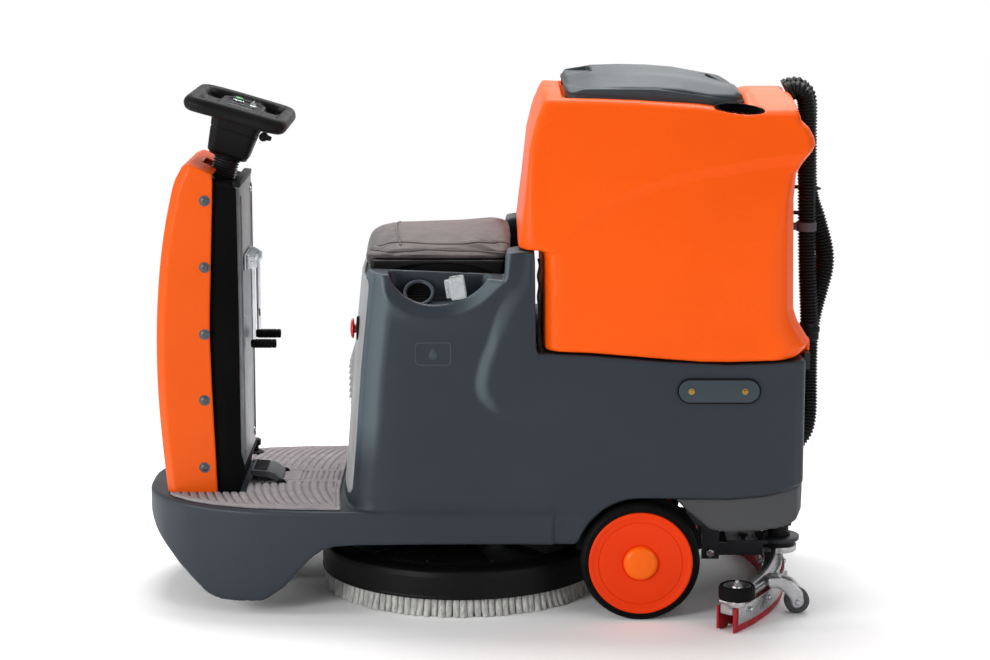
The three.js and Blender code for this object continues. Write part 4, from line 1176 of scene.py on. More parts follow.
def rim_field(points):
    x, y, z = fold(points)
    outer = rim_outer(x, y)
    ring = np.maximum(outer, -rim_inner(x, y))
    centre_z = -2 - 2.8 * (x / 104) ** 2 * (x < 0)
    t = np.clip((outer + 15) / 15, -1, 1)
    half = 15.5 * np.sqrt(np.maximum(1 - 0.55 * t * t, 0.05))
    ring = meet(ring, np.abs(z - centre_z) - half, 12)
    # finger ripple under the rear bar
    ripple = 0.48 * np.cos(np.clip(y, 0, 110) / 110 * 12 * math.pi)
    ring = ring + ripple * (y < 108) * (z < -4) * (x > 70)
    plate = meet(meet(np.abs(x) - 30, y - 128, 10), np.abs(z + 7) - 8, 4)
    spoke = meet(meet(np.abs(x) - 92, y - 34, 14), np.abs(z + 7) - 8, 4)
    pad = meet(meet(np.abs(x) - 44, y - 84, 18), np.abs(z + 3) - 9.5, 5)
    shape = fuse(fuse(ring, plate, 8), fuse(spoke, pad, 5), 8)
    return cut(shape, meet(meet(np.abs(x) - 34, y - 72, 12), 3.2 - z, 2), 2)


def head_field(points):
    x, y, z = fold(points)
    taper = unit((-20 - z) / 76)
    corner = 18
    dx = np.abs(x) - (50 - 9 * taper) + corner
    dy = y - (56 - 15 * taper) + corner
    wall = (np.hypot(np.maximum(dx, 0), np.maximum(dy, 0)) - corner
            + np.minimum(np.maximum(dx, dy), 0))
    shape = meet(wall, np.abs(z + 57) - 39.5, 5)
    band = meet(np.hypot(x, y) - 39, np.abs(z + 97) - 5, 2.5)
    pod = meet(meet(np.abs(x - 50) - 19, y - 26, 8), np.abs(z + 25) - 7.5, 4)
    shape = fuse(fuse(shape, band, 2), pod, 5)
    seam = np.maximum(np.abs(z + 46) - 1.3, -shape - 1.6)
    shape = cut(shape, seam, 0.8)
    well = np.maximum(meet(np.abs(x - 60) - 15, y - 12, 3), np.abs(z + 46) - 14)
    return carve(shape, well)


def rocker_field(points):
    x, y, z = fold(points)
    drum = meet(np.hypot(x - 58, z + 44) - 8.8, y - 8.8, 1.5)
    pad = meet(meet(np.abs(x - 66) - 8, y - 4.2, 1.5),
               np.abs(z + 44) - 6.2 + 0.12 * np.abs(x - 58), 1.5)
    return fuse(drum, pad, 2)


def tilted_join(name, parts):
    return move(join(name, parts), TILTED)


finish(move(solid('wheel_rim', rim_field, (-108, -150, -24), (108, 150, 16), 2.4, 'black',
                  1.7), TILTED), 'steering', 'black_plastic', 'steering_wheel')
finish(move(solid('steering_housing', head_field, (-54, -60, -104), (72, 60, -16), 2.2,
                  'black', 1.7), TILTED), 'steering', 'black_plastic', 'steering_head')
SHAFT = [(0, -224), (24, -224, 2), (24, -218, 2), (9.5, -218, 1), (9.5, -100), (0, -100)]
finish(move(revolve(SHAFT, 'bright', sides=32, seg=2, name='steering_shaft'), TILTED),
       'steering', 'bright_steel')

# bellows under the head, standing on a ring
folds = []
for i in range(9):
    h = -146 + i * 5.3
    folds += [(22.6, h), (25.2, h + 0.9), (26.6, h + 2.0), (25.2, h + 3.1), (22.6, h + 4.2),
              (22.2, h + 4.8)]
BOOT_RING = [(13, -158), (30, -158, 2.5), (31, -150, 3), (26, -145.5, 2), (13, -145.5)]
parts = [revolve([(12, -146)] + folds + [(22.5, -98.4), (20, -97.6), (12, -97.6)], 'boot',
                 sides=48, closed=True, sharp=80),
         revolve(BOOT_RING, 'gloss', sides=48, closed=True, seg=4)]
finish(tilted_join('steering_bellows', parts), 'chassis', 'rubber_black', 'steering_boot')

# instrument panel: a display, three keys, a key switch with its key, and three lamps
KEY_SWITCH = [(0, 8.2), (5.5, 8.2, 1), (6.5, 4, 1), (8, 3.4), (8, 1), (0, 1)]
LAMP = [(0, 5.6), (1.4, 5.4), (1.8, 4.6), (1.8, 1), (0, 1)]
parts = [slab(rounded_rect(24, 17, 4, cy=-34), 1.0, 4.8, 'gloss', 0.8, plane='xy')]
parts += [slab(rounded_rect(5.5, 7, 2.5, cx=-20 + 20 * i, cy=8), 1.0, 5.4, 'slate_panel',
               1.2, 3, 'xy') for i in range(3)]
parts += [revolve(KEY_SWITCH, 'chrome', origin=(18, 50, 0), sides=24, seg=2),
          slab([(16.8, 46), (19.2, 46), (19.2, 54), (16.8, 54)], 7.6, 12.5, 'chrome', 0.5,
               plane='xy')]
parts += [revolve(LAMP, colour, origin=(-18 + 9 * i, -12, 0), sides=12)
          for i, colour in enumerate(('green', 'red', 'green'))]
finish(tilted_join('instrument_panel', parts), 'steering', 'black_plastic')

START_AT = (-12, 45, 0)
START_CAP = [(0, 13.2), (6, 13.0), (8, 12.2), (8.8, 10.5), (8.8, 8.5), (0, 8.5)]
START_BEZEL = [(9.3, 2.5), (11.5, 2.5), (12, 6.2, 1), (10.6, 8.0, 1), (9.3, 8.0)]
finish(move(revolve(START_CAP, 'green', origin=START_AT, sides=28, corner=0.8,
                    name='start_push'), TILTED), 'start_button', 'green_button', 'start_button')
finish(move(revolve(START_BEZEL, 'chrome', origin=START_AT, sides=32, closed=True, seg=2,
                    name='start_bezel'), TILTED), 'steering', 'chrome_bar')
finish(move(solid('direction_rocker', rocker_field, (46, -10, -56), (76, 10, -32), 1.2,
                  'gloss', 1.7), TILTED),
       'direction_switch', 'black_plastic', 'direction_switch')

# ---------------------------------------------------------------- hand levers
LEVER_BAR = [(-478, 494, 3), (-470, 494, 3), (-469.6, 648, 6), (-465, 656, 5), (-465, 670, 6),
             (-474, 673.5, 6), (-483, 670, 6), (-483, 656, 5), (-478.4, 648, 6)]
LEVER_BOSS = [(4.4, -3.6), (8, -3.6, 0.8), (8, 3.6, 0.8), (4.4, 3.6)]
grip = [(0, -0.2), (7.6, 0, 1.5)]
for i in range(7):
    h = 5 + i * 5.2
    grip += [(8.8, h), (9.3, h + 0.8), (9.3, h + 3.4), (8.4, h + 4.3)]
grip += [(8.6, 43.5), (9.2, 46), (8.2, 50.2, 2), (0, 51)]
for lever, y in (('squeegee_lever', -50), ('brush_lever', 60)):
    parts = [slab(fillet(LEVER_BAR, seg=4), y - 2.5, y + 2.5, 'chrome', 0.7),
             revolve(LEVER_BOSS, 'chrome', axis=Y_AXIS, origin=(-474, y, 664), sides=28,
                     closed=True, seg=2)]
    finish(join(lever + '_bar', parts), lever, 'chrome_bar', lever)
    finish(revolve(grip, 'grip', axis=X_AXIS, origin=(-480, y, 500), sides=28, sharp=50,
                   name=lever + '_handle'), lever, 'grip_black', lever + '_grip')

# ---------------------------------------------------------------- pedal and foot button
PEDAL = [(-425.5, 219.2, 1.5), (-420, 222.2, 2), (-436, 236, 5), (-447, 240, 6),
         (-484, 243.5, 3), (-485, 232.6, 1.5), (-450, 226.8, 4)]
PEDAL_RIB = [(-479, 243.0), (-479, 245.2), (-452, 242.6), (-452, 240.2)]
PEDAL_BRACKET = [(-436, 217.2, 1), (-413, 217.2, 1), (-416, 224.5, 3), (-426, 226, 3)]
PEDAL_PIN = [(0, -66), (3, -66, 0.5), (3, 36, 0.5), (0, 36)]
parts = [slab(fillet(PEDAL, seg=4), -62, 32, 'skirt', 1.6, 3)]
parts += [slab(PEDAL_RIB, -54 + 9.5 * i, -50.5 + 9.5 * i, 'rubber', 0.8) for i in range(9)]
finish(join('pedal_block', parts), 'drive_pedal', 'skirt_grey', 'drive_pedal')
parts = [slab(fillet(PEDAL_BRACKET, seg=3), y, y + 3.2, 'black', 0.8) for y in (-66.5, 32.8)]
parts.append(revolve(PEDAL_PIN, 'bright', axis=Y_AXIS, origin=(-424.5, 0, 221), sides=16,
                     seg=1))
finish(join('pedal_brackets', parts), 'chassis', 'black_plastic')

FOOT_BUTTON_AT = (-500, 205, 0)
FOOT_COLLAR = [(8.5, 213), (18, 213), (18, 219.5, 1), (13.5, 222.5, 1.5), (8.5, 222.5)]
bellows = [(0, 224), (7, 224), (7, 233)]
for i in range(3):
    h = 233 + i * 3.0
    bellows += [(10.5, h + 0.4), (12.8, h + 1.5), (10.5, h + 2.6)]
bellows += [(12.5, 243, 0.8), (12.5, 245.5, 1.5), (9, 248, 1.5), (0, 248.3)]
finish(revolve(bellows, 'rubber', origin=FOOT_BUTTON_AT, sides=32, sharp=60,
               name='foot_button_bellows'), 'foot_button', 'black_plastic', 'foot_button')
finish(revolve(FOOT_COLLAR, 'black', origin=FOOT_BUTTON_AT, sides=36, closed=True, seg=2,
               name='foot_button_collar'), 'chassis', 'black_plastic')

# ---------------------------------------------------------------- seat box front
STOP_Y, STOP_Z = -150, 549              # emergency stop


def front_cover_field(points):
    x, y, z = fold(points)
    skin = seat_plan(x - seat_lean(z), y)
    sheet = np.maximum(skin - 2.6, -skin - 4.5)
    shape = meet(sheet, meet(meet(y - 222, 232 - z, 20), z - 656, 20), 1.6)
    shape = np.maximum(shape, 11 - np.hypot(points[:, 1] - STOP_Y, z - STOP_Z))
    return np.maximum(shape, x + 180)


def louvre_x(z):
    return float(np.interp(z, [384, 398, 470, 492], [-275, -281, -280.5, -274]))


finish(solid('seat_box_front_cover', front_cover_field, (-298, -226, 226), (-176, 226, 660),
             2.3, 'cover_grey', 1.6), 'chassis', 'slate_body')
slats = [(-266, 492), (-274.5, 492)]
for i in range(8):
    z = 484 - i * 12.2
    slats += [(louvre_x(z) + 4.5, z), (louvre_x(z - 8) - 1.5, z - 8.2),
              (louvre_x(z - 8) - 1.2, z - 10.4), (louvre_x(z - 9) + 5.0, z - 11.2)]
slats += [(-274.5, 384), (-268, 384)]
LOUVRE_END = [(-265, 492), (-273, 492), (louvre_x(470) + 3.0, 476), (louvre_x(400) + 3.0, 394),
              (-274, 384), (-267, 384)]
parts = [slab(slats, -104, 104, 'cover_grey', 0.5, 1)]
parts += [slab(LOUVRE_END, s * 104, s * 107, 'cover_grey', 0.9) for s in (-1, 1)]
finish(join('louvre_panel', parts), 'chassis', 'slate_body', 'seat_box_panel')

STOP_CAP = [(0, 13.5), (10, 13.0, 3), (17, 11.4, 3), (20, 8.8, 2), (20, 7.2, 1), (17, 6.2),
            (9, 6.0, 1), (9, 0), (0, 0)]
STOP_COLLAR = [(9.6, -4), (24, -4), (24, 0.2, 1), (22, 1.4, 1), (9.6, 1.4)]
finish(revolve(STOP_CAP, 'red', axis=FORWARD, origin=(-262.2, STOP_Y, STOP_Z), sides=44,
               name='stop_button'), 'emergency_stop', 'red_button', 'emergency_stop')
finish(revolve(STOP_COLLAR, 'dark', axis=FORWARD, origin=(-261.8, STOP_Y, STOP_Z), sides=40,
               closed=True, seg=2, name='stop_collar'), 'chassis', 'black_plastic')

# ---------------------------------------------------------------- left tray details
FILL_AXIS, FILL_AT = (0, -0.70, 0.714), (-139, -238, 634)
BASKET = [(21.6, -14), (25.6, -14), (26.6, -2, 1), (29.6, -1, 1), (30.2, 1.6, 1),
          (28.6, 3.2, 1.2), (25.2, 3.0, 1.2), (23.6, 1.0, 1), (22.4, -12)]
BASKET_LINING = [(0, -13.6), (22.0, -13.6), (23.4, 0.4), (22.8, 0.4), (21.2, -12.6), (0, -12.6)]
fill_frame = frame_of(FILL_AXIS)
fill_frame.translation = Vector(FILL_AT) * MM
parts = [revolve(BASKET, 'slate', axis=FILL_AXIS, origin=FILL_AT, sides=56, closed=True),
         revolve(BASKET_LINING, 'dark', axis=FILL_AXIS, origin=FILL_AT, sides=48)]
for i in range(-2, 3):
    x = 6.4 * i
    reach = math.sqrt(20.5 ** 2 - x ** 2)
    bar = [(x - 0.9, -reach), (x + 0.9, -reach), (x + 0.9, reach), (x - 0.9, reach)]
    parts.append(move(slab(bar, -11.5, -9.5, 'dark', 0.4, 1, 'xy'), fill_frame))
finish(join('fill_port_basket', parts), 'chassis', 'slate_body', 'fill_port_strainer')


def clear_box_field(points):
    """open box with a side tab, leaning 9 degrees"""
    local = points - np.array([-64, -249, 646], np.float32)
    c, s = math.cos(math.radians(9)), math.sin(math.radians(9))
    local = np.stack([c * local[:, 0] + s * local[:, 2], local[:, 1],
                      -s * local[:, 0] + c * local[:, 2]], 1)
    outer = rounded_box(local, (-15, -15, -22), (15, 15, 22), 4)
    inner = rounded_box(local, (-12, -12, -19), (12, 12, 30), 3)
    tab = rounded_box(local, (-24, -4, -18), (-13, 9, 18), 2)
    return np.minimum(carve(outer, inner), tab)


finish(solid('tray_clear_box', clear_box_field, (-96, -270, 616), (-38, -230, 676), 1.5,
             'clear', crumbs=True), 'chassis', 'clear_plastic', 'tray_clip_block')

# ---------------------------------------------------------------- side plates and badges
PLATE_X, PLATE_Z = 435, 452
BADGE_X, BADGE_Z = -111, 522.5


def badge_ring(skin, side):
    """rounded-square frame standing 1.5 mm off the skin"""
    width, height, corner, band = 34.5, 22.5, 8, 2.2
    outer = rounded_rect(width, height, corner, 6, BADGE_X, BADGE_Z)
    inner = rounded_rect(width - band, height - band, corner - band, 6, BADGE_X, BADGE_Z)

    def between(t):
        return [(a * (1 - t) + b * t, c * (1 - t) + d * t)
                for (a, c), (b, d) in zip(outer, inner)]
    face = skin + side * 1.5
    edge = face - side * 0.5
    loops = ((outer, skin), (outer, edge), (between(0.015), face), (between(0.985), face),
             (inner, edge), (inner, skin))
    verts = [(p[0] * MM, y * MM, p[1] * MM) for loop, y in loops for p in loop]
    count = len(outer)
    faces = []
    for a in range(6):
        b = (a + 1) % 6
        for k in range(count):
            k2 = (k + 1) % count
            faces.append((a * count + k, a * count + k2, b * count + k2, b * count + k))
    bm = bmesh_from(verts, faces)
    bmesh.ops.recalc_face_normals(bm, faces=bm.faces)
    return smooth_object('part', bm, 'slate_panel', 50)


drop = []
for k in range(28):
    angle = 2 * math.pi * k / 28
    up = max(0, math.sin(angle))
    radius = 8.5 * (1 + 0.55 * up ** 6)
    drop.append((BADGE_X + radius * math.cos(angle) * (1 - 0.35 * up ** 2),
                 520 + radius * math.sin(angle)))
for s, side in SIDES:
    y = s * 284.5
    parts = [slab(rounded_rect(77, 22, 21.5, 8, PLATE_X, PLATE_Z), y, y + s * 6.6,
                  'slate_panel', 2.0, 4),
             slab(rounded_rect(79.4, 24.4, 24, 8, PLATE_X, PLATE_Z), y, y + s * 5.1, 'dark',
                  0.6)]
    parts += [dome_screw((x, y + s * 6.4, PLATE_Z), s, 4.0, 'brass') for x in (382, 484)]
    finish(join('cover_plate_%s_set' % side, parts), 'chassis', 'slate_body',
           *(['cover_plate_left'] if s < 0 else []))
    skin = s * (float(body_width(np.array([-111.0]), np.array([522.0]))[0]) - 0.5)
    parts = [badge_ring(skin, s), slab(drop, skin, skin + s * 1.4, 'slate_panel', 0.6)]
    finish(join('drop_badge_%s' % side, parts), 'chassis', 'slate_body')

# ---------------------------------------------------------------- wheels
# rear tyre and hub, as (radius, distance from the middle of the machine)
TYRE = [(100.8, 244), (104, 243.2, 1), (110, 245.5, 3), (113.5, 249, 3), (115, 254, 3),
        (115, 262), (113.4, 263), (113.4, 264.6), (115, 265.6), (115, 276), (113.4, 277),
        (113.4, 278.6), (115, 279.6), (115, 287, 3), (113.2, 292, 4), (109, 296.2, 3),
        (106.6, 296.8), (106.2, 295.6), (104.8, 295.6), (104.4, 297.2), (102, 297.6, 1),
        (100.8, 296)]
HUB = [(12, 244), (58, 244, 2), (62, 262, 3), (97, 263, 2), (100.4, 262.5, 1),
       (100.4, 298.5, 1.5), (98.8, 300.8, 1.5), (95, 300.6, 1), (90, 298.8, 3), (82.5, 298.2),
       (81.6, 296.9), (80.4, 296.9), (79.6, 298.2), (70, 298.4, 4), (46, 297.4, 4),
       (36, 296.2, 2), (34.2, 294.6, 1), (33.2, 294.6), (12, 294.6)]
HUB_DOME = [(0, 308.2), (14, 307.9, 4), (26, 306.4, 3), (30.8, 303.6, 2.5), (32.4, 299, 1),
            (32.8, 294.8), (0, 294.8)]
AXLE = (WHEEL_X, 0, WHEEL_R)
for s, side in SIDES:
    body = 'wheel_' + side
    place = dict(axis=Y_AXIS, origin=AXLE, flip=s)
    finish(revolve(TYRE, 'tyre', **place, sides=96, closed=True, sharp=40,
                   name='rear_tyre_' + side), body, 'tyre_black', body + '_tyre')
    parts = [revolve(HUB, 'hub', **place, sides=96, closed=True, sharp=50),
             revolve(HUB_DOME, 'dome', **place, sides=72, seg=4, sharp=60)]
    finish(join('rear_hub_' + side, parts), body, 'hub_orange', body + '_hub')

liner = [(WHEEL_X + 124 * math.cos(a), WHEEL_R + 124 * math.sin(a))
         for a in np.linspace(math.radians(6), math.radians(174), 40)]
liner += [(WHEEL_X - 86, 116), (WHEEL_X - 20, 100), (WHEEL_X + 20, 100), (WHEEL_X + 86, 116)]
for s, side in SIDES:
    finish(slab(liner, s * 232.5, s * 237.5, 'dark', 1.4, name='wheel_liner_' + side),
           'chassis', 'black_plastic')


def tread(angle, radius, height):
    """28 shallow notches across the tread"""
    return 1 - 0.018 * (radius > 92) * (math.cos(28 * angle + 0.05 * height) > 0.72)


DRIVE_TYRE = [(70.6, -28), (84, -28, 3), (90, -25, 4), (95, -19, 3), (95, -1.2), (92.5, -1),
              (92.5, 1), (95, 1.2), (95, 19, 3), (90, 25, 4), (84, 28, 3), (70.6, 28)]
finish(revolve(DRIVE_TYRE, 'tyre', axis=Y_AXIS, origin=(DRIVE_X, 0, DRIVE_Z), sides=168,
               closed=True, seg=2, wave=tread, sharp=40, name='drive_tyre'),
       'drive_wheel', 'tyre_black', 'drive_wheel_tyre')

# ---------------------------------------------------------------- brush head
SHROUD = [(14, 88), (268, 88, 2), (276.6, 84, 6), (277.2, 40), (277.2, 36.8, 0.8),
          (282.6, 36.8, 0.8), (283.4, 38.5, 1), (283.4, 41, 1.2), (282.6, 43, 1), (282.8, 80, 3),
          (280, 91, 8), (270, 96, 6), (250, 97, 4), (246, 101, 3), (120, 101, 3),
          (116, 95.6, 3), (14, 95.6)]
BRUSH_BACK = [(12, 44), (262, 44, 2), (266.5, 47, 2), (266.5, 58, 2), (262, 60.5, 2),
              (62, 64, 3), (46, 70, 4), (44, 84, 1), (12, 84)]
BRUSH_AT = (BRUSH_X, 0, 0)


def shroud_lug(y0, y1, x, z):
    """upright lug with a round head centred on x, z"""
    poly = [(x - 14, 94), (x + 14, 94)]
    poly += [(x + 13 * math.cos(a), z + 13 * math.sin(a)) for a in np.linspace(0, math.pi, 9)]
    return slab(poly, y0, y1, 'black', 0.8)


parts = [revolve(SHROUD, 'black', origin=BRUSH_AT, sides=160, closed=True, seg=4, sharp=50),
         shroud_lug(92, 99, -40, 120), shroud_lug(-99, -92, -40, 120),
         shroud_lug(60, 66, -40, 145)]
for k in range(12):
    rib = slab([(120, -2.2), (244, -2.2), (244, 2.2), (120, 2.2)], 95, 104.5, 'black', 1.2,
               plane='xy')
    turn = Matrix.Rotation(2 * math.pi * (k + 0.5) / 12, 4, 'Z')
    parts.append(move(rib, Matrix.Translation((BRUSH_X * MM, 0, 0)) @ turn))
finish(join('brush_shroud', parts), 'brush_deck', 'black_plastic', 'brush_deck')
finish(revolve(BRUSH_BACK, 'black', origin=BRUSH_AT, sides=96, closed=True, name='brush_back'),
       'brush', 'black_plastic', 'brush_block')

# rows of tufts: ring radius, count, outward lean, tip radius, sides
TUFT_ROWS = ((264, 122, 9.0, 6.9, 9), (251, 112, 7, 6.9, 6), (236, 90, 5, 6.9, 6),
             (218, 76, 4, 6.4, 6), (200, 64, 2, 6.4, 6), (184, 56, 1, 6.4, 6))
TUFT_ROOT, TUFT_TOP, TUFT_END = 5.6, 44.5, 0.6      # root radius, z of the root and the tip
rng = np.random.default_rng(7)


def tuft(verts, faces, ring, angle, lean, tip, sides):
    first = len(verts)
    lean_jitter = rng.normal(0, 1.4)
    side_jitter = rng.normal(0, 1.6)
    twist = rng.uniform(0, 6.28)
    root = TUFT_ROOT
    cx = BRUSH_X + ring * math.cos(angle)
    cy = ring * math.sin(angle)
    levels = ((0, root), (0.35, root * 1.25), (0.75, (root + tip) * 0.55), (1.0, tip))
    for level, (t, radius) in enumerate(levels):
        out = (lean + lean_jitter) * t
        across = side_jitter * t * t
        z = TUFT_TOP + (TUFT_END - TUFT_TOP) * t
        x0 = cx + math.cos(angle) * out - math.sin(angle) * across
        y0 = cy + math.sin(angle) * out + math.cos(angle) * across
        for k in range(sides):
            a = twist + 2 * math.pi * k / sides
            r = radius * (1 + 0.16 * rng.normal()) if level == 3 else radius
            fray = rng.uniform(0, 1.6) if level == 3 else 0
            verts.append(((x0 + r * math.cos(a)) * MM, (y0 + r * math.sin(a)) * MM,
                          (z + fray) * MM))
    for level in range(3):
        low = first + level * sides
        for k in range(sides):
            k2 = (k + 1) % sides
            faces.append((low + sides + k, low + sides + k2, low + k2, low + k))
    faces.append(tuple(first + k for k in range(sides)))
    faces.append(tuple(first + 3 * sides + k for k in range(sides))[::-1])


verts, faces = [], []
for row, (ring, count, lean, tip, sides) in enumerate(TUFT_ROWS):
    for k in range(count):
        angle = 2 * math.pi * (k + (0.5 if row % 2 else 0)) / count
        tuft(verts, faces, ring, angle, lean, tip, sides)
mesh = bpy.data.meshes.new('brush_tufts')
mesh.from_pydata(verts, [], faces)
mesh.update()
mesh.shade_smooth()
mesh.set_sharp_from_angle(angle=math.radians(60))
finish(link('brush_tufts', mesh, FINISH['bristle']), 'brush', 'bristle_white',
       'brush_bristles')


# ---------------------------------------------------------------- hoses
def ribbed(radius, depth, *cuffs):
    """hose radius along its run; cuffs are (start, end, radius), negative from the far end"""
    def at(s, length):
        for start, end, cuff in cuffs:
            offset = length if start < 0 else 0
            if offset + start <= s <= offset + end:
                return cuff
        wave = math.cos(2 * math.pi * s / HOSE_PITCH)
        return radius - depth + depth * 2 * (0.5 + 0.5 * wave) ** 0.7
    return at


HOSE_STEP = HOSE_PITCH / 7
DRAIN_PATH = [(584, -27, 999), (596, -27, 1004), (611, -27, 999), (621, -27, 975),
              (624, -27, 900), (626, -27, 780), (630, -27, 650), (635, -27, 560),
              (636.5, -27, 517)]
DRAIN_CAP = [(0, 503), (16, 503, 2), (19.6, 505, 1.5), (19.6, 519, 1.5), (21.4, 521, 1),
             (21.4, 530, 1.5), (17, 532), (0, 532)]
parts = [sweep(DRAIN_PATH, ribbed(16.6, 1.6, (0, 10, 19), (-22, 2, 18.6)), 'rubber', ring=26,
               step=HOSE_STEP, smooth=14),
         revolve(DRAIN_CAP, 'black', origin=(636.5, -27, 0), sides=36),
         revolve([(16.6, -9), (20.4, -9, 1), (20.4, 9, 1), (16.6, 9)], 'skirt',
                 origin=(626, -27, 733), sides=36, closed=True, seg=2),
         block((578, -34, 726), (610, -20, 740), 'skirt', 2, 2),
         revolve([(16.6, -3), (19.2, -3, 0.6), (19.2, 3, 0.6), (16.6, 3)], 'black',
                 origin=(623.8, -27, 905), sides=32, closed=True, seg=1)]
finish(join('drain_hose_set', parts), 'recovery_tank', 'rubber_black', 'drain_hose')

VACUUM_PATH = [(584, 20, 1000), (598, 20, 1007), (614, 20, 1003), (628, 20, 980),
               (630, 20, 900), (634, 20, 800), (652, 20, 740), (668, 20, 680), (669, 20, 640),
               (660, 19, 600), (650, 18, 560), (642, 14, 515), (640, 11, 470), (640, 7, 410),
               (640, 2, 350), (634, 0, 314), (618, 0, 288), (600, 0, 270), (588, 0, 262)]
hose = sweep(VACUUM_PATH, ribbed(18.2, 1.7, (0, 10, 21), (-10, 2, 21)), 'rubber', ring=28,
             step=HOSE_STEP, name='vacuum_hose_ribbed')
finish(hose, None, 'rubber_black', 'vacuum_hose_upper', 'vacuum_hose_lower')
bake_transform(hose)

SUCTION_PATH = [(596, 0, 262), (586, 0, 248), (581, 0, 224), (581, 0, 196), (583, 0, 168),
                (583, 0, 140), (583, 0, 126)]
hose = sweep(SUCTION_PATH, ribbed(18.6, 1.7, (-14, 2, 21.5)), 'rubber', ring=28,
             step=HOSE_STEP, smooth=10, name='suction_hose_ribbed')
finish(hose, None, 'rubber_black')
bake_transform(hose)
finish(join('rear_elbow_set', [
    revolve([(17, -8), (23, -8, 1), (23, 8, 1.5), (17, 8)], 'black', axis=(0.75, 0, 0.62),
            origin=(598, 0, 268), sides=36, closed=True, seg=2)]), 'chassis', 'black_plastic')

# straps round both hoses, and a thin cable in the gap ahead of the tank
STRAP = [(590, 2, 806), (606, -10, 808), (636, -13, 806), (654, 2, 804), (657, 22, 803),
         (648, 40, 803), (628, 43, 804), (604, 34, 806), (588, 22, 807)]
LOW_STRAP = [(590, 2, 754), (608, -10, 756), (642, -13, 754), (661, 2, 752), (664, 22, 751),
             (655, 41, 751), (632, 44, 752), (606, 34, 754), (588, 22, 755)]
CABLE = [(89.5, -262, 704), (92, -266, 690), (88.8, -268, 672), (91.5, -262, 652),
         (89, -266, 630), (92, -264, 600), (90, -262, 560), (90, -262, 535)]
for name, path in (('hose_strap', STRAP), ('hose_strap_low', LOW_STRAP)):
    finish(sweep(path, 2.0, 'black', ring=8, step=4, name=name), 'recovery_tank',
           'black_plastic')
finish(sweep(CABLE, 2.6, 'black', ring=10, step=3, name='gap_cable'), 'chassis',
       'black_plastic')

# ---------------------------------------------------------------- squeegee
ROLLER_X, ROLLER_Y = 467, 371
CASTER_X, CASTER_Y, CASTER_Z = 597, 240, 25.5
fork_side = outline([
    (540, 54, 3), (540, 73, 8), (562, 76, 12), (590, 66, 18), (607, 46, 14), (610, 22, 12),
    (600, 13, 8), (588, 14, 6), (584, 30, 10), (572, 44, 14), (560, 54, 4)], 1.5)


def squeegee_field(points):
    x, y, z = points[:, 0], points[:, 1], points[:, 2]
    side = np.abs(y)
    radius = np.hypot(x - ARC_X, y)
    angle = np.arctan2(y, x - ARC_X)
    end = (np.abs(angle) - ARC_HALF) * 600
    from_middle = np.abs(angle) * 600
    # channel section with a flange and a ridge on top
    base = meet(meet(np.abs(radius - 604) - 15.6, end, 6), np.abs(z - 48) - 13.6, 2.4)
    flange = meet(meet(np.abs(radius - 603) - 18.6, end - 3, 8), np.abs(z - 59.5) - 3.0, 1.6)
    shape = fuse(base, flange, 1.2)
    ridge = meet(meet(np.abs(radius - 604) - 5, end + 90, 8),
                 np.abs(z - 66) - 8.5 + 5 * unit((from_middle - 150) / 250), 3)
    shape = fuse(shape, ridge, 4)
    shape = carve(shape, meet(meet(np.abs(radius - 604) - 9, end + 10, 3), z - 44, 3))
    # pockets along the back at a 90 pitch
    along = np.abs(np.mod(angle * 600 + 45, 90) - 45)
    pocket = meet(meet(np.abs(radius - 620.0) - 2.4, along - 30, 4), np.abs(z - 46) - 7, 3)
    shape = cut(shape, pocket, 1)
    # caster forks
    fork = meet(fork_side(x, z), np.abs(np.abs(side - CASTER_Y) - 16.8) - 2.4, 1.2)
    web = meet(meet(np.abs(x - 552) - 13, np.abs(side - CASTER_Y) - 19, 3),
               np.abs(z - 66) - 8, 3)
    shape = fuse(shape, fuse(fork, web, 3), 3)
    # bumper roller arms
    from_roller = np.hypot(x - ROLLER_X, side - ROLLER_Y)
    boss = meet(from_roller - 17, np.abs(z - 58) - 6.5, 2)
    arm = capsule(np.stack([x, side, z], 1), (ROLLER_X, ROLLER_Y, 58), (482, 345, 56), 11)
    arm = meet(arm, np.abs(z - 57) - 6, 2)
    shape = fuse(shape, fuse(boss, arm, 4), 4)
    # plate round the suction port
    from_port = np.hypot(x - PORT_X, y)
    plate = meet(meet(from_port - 41, np.abs(z - 69) - 6.8, 2.5), 19 - from_port, 1)
    shape = fuse(shape, plate, 3)
    return np.minimum(shape, meet(from_roller - 5.8, np.abs(z - 80) - 19, 1))


finish(solid('squeegee_casting', squeegee_field, (430, -392, 12), (628, 392, 100), 2.5, 'alu',
             2.0), 'squeegee', 'cast_alu', 'squeegee_body')


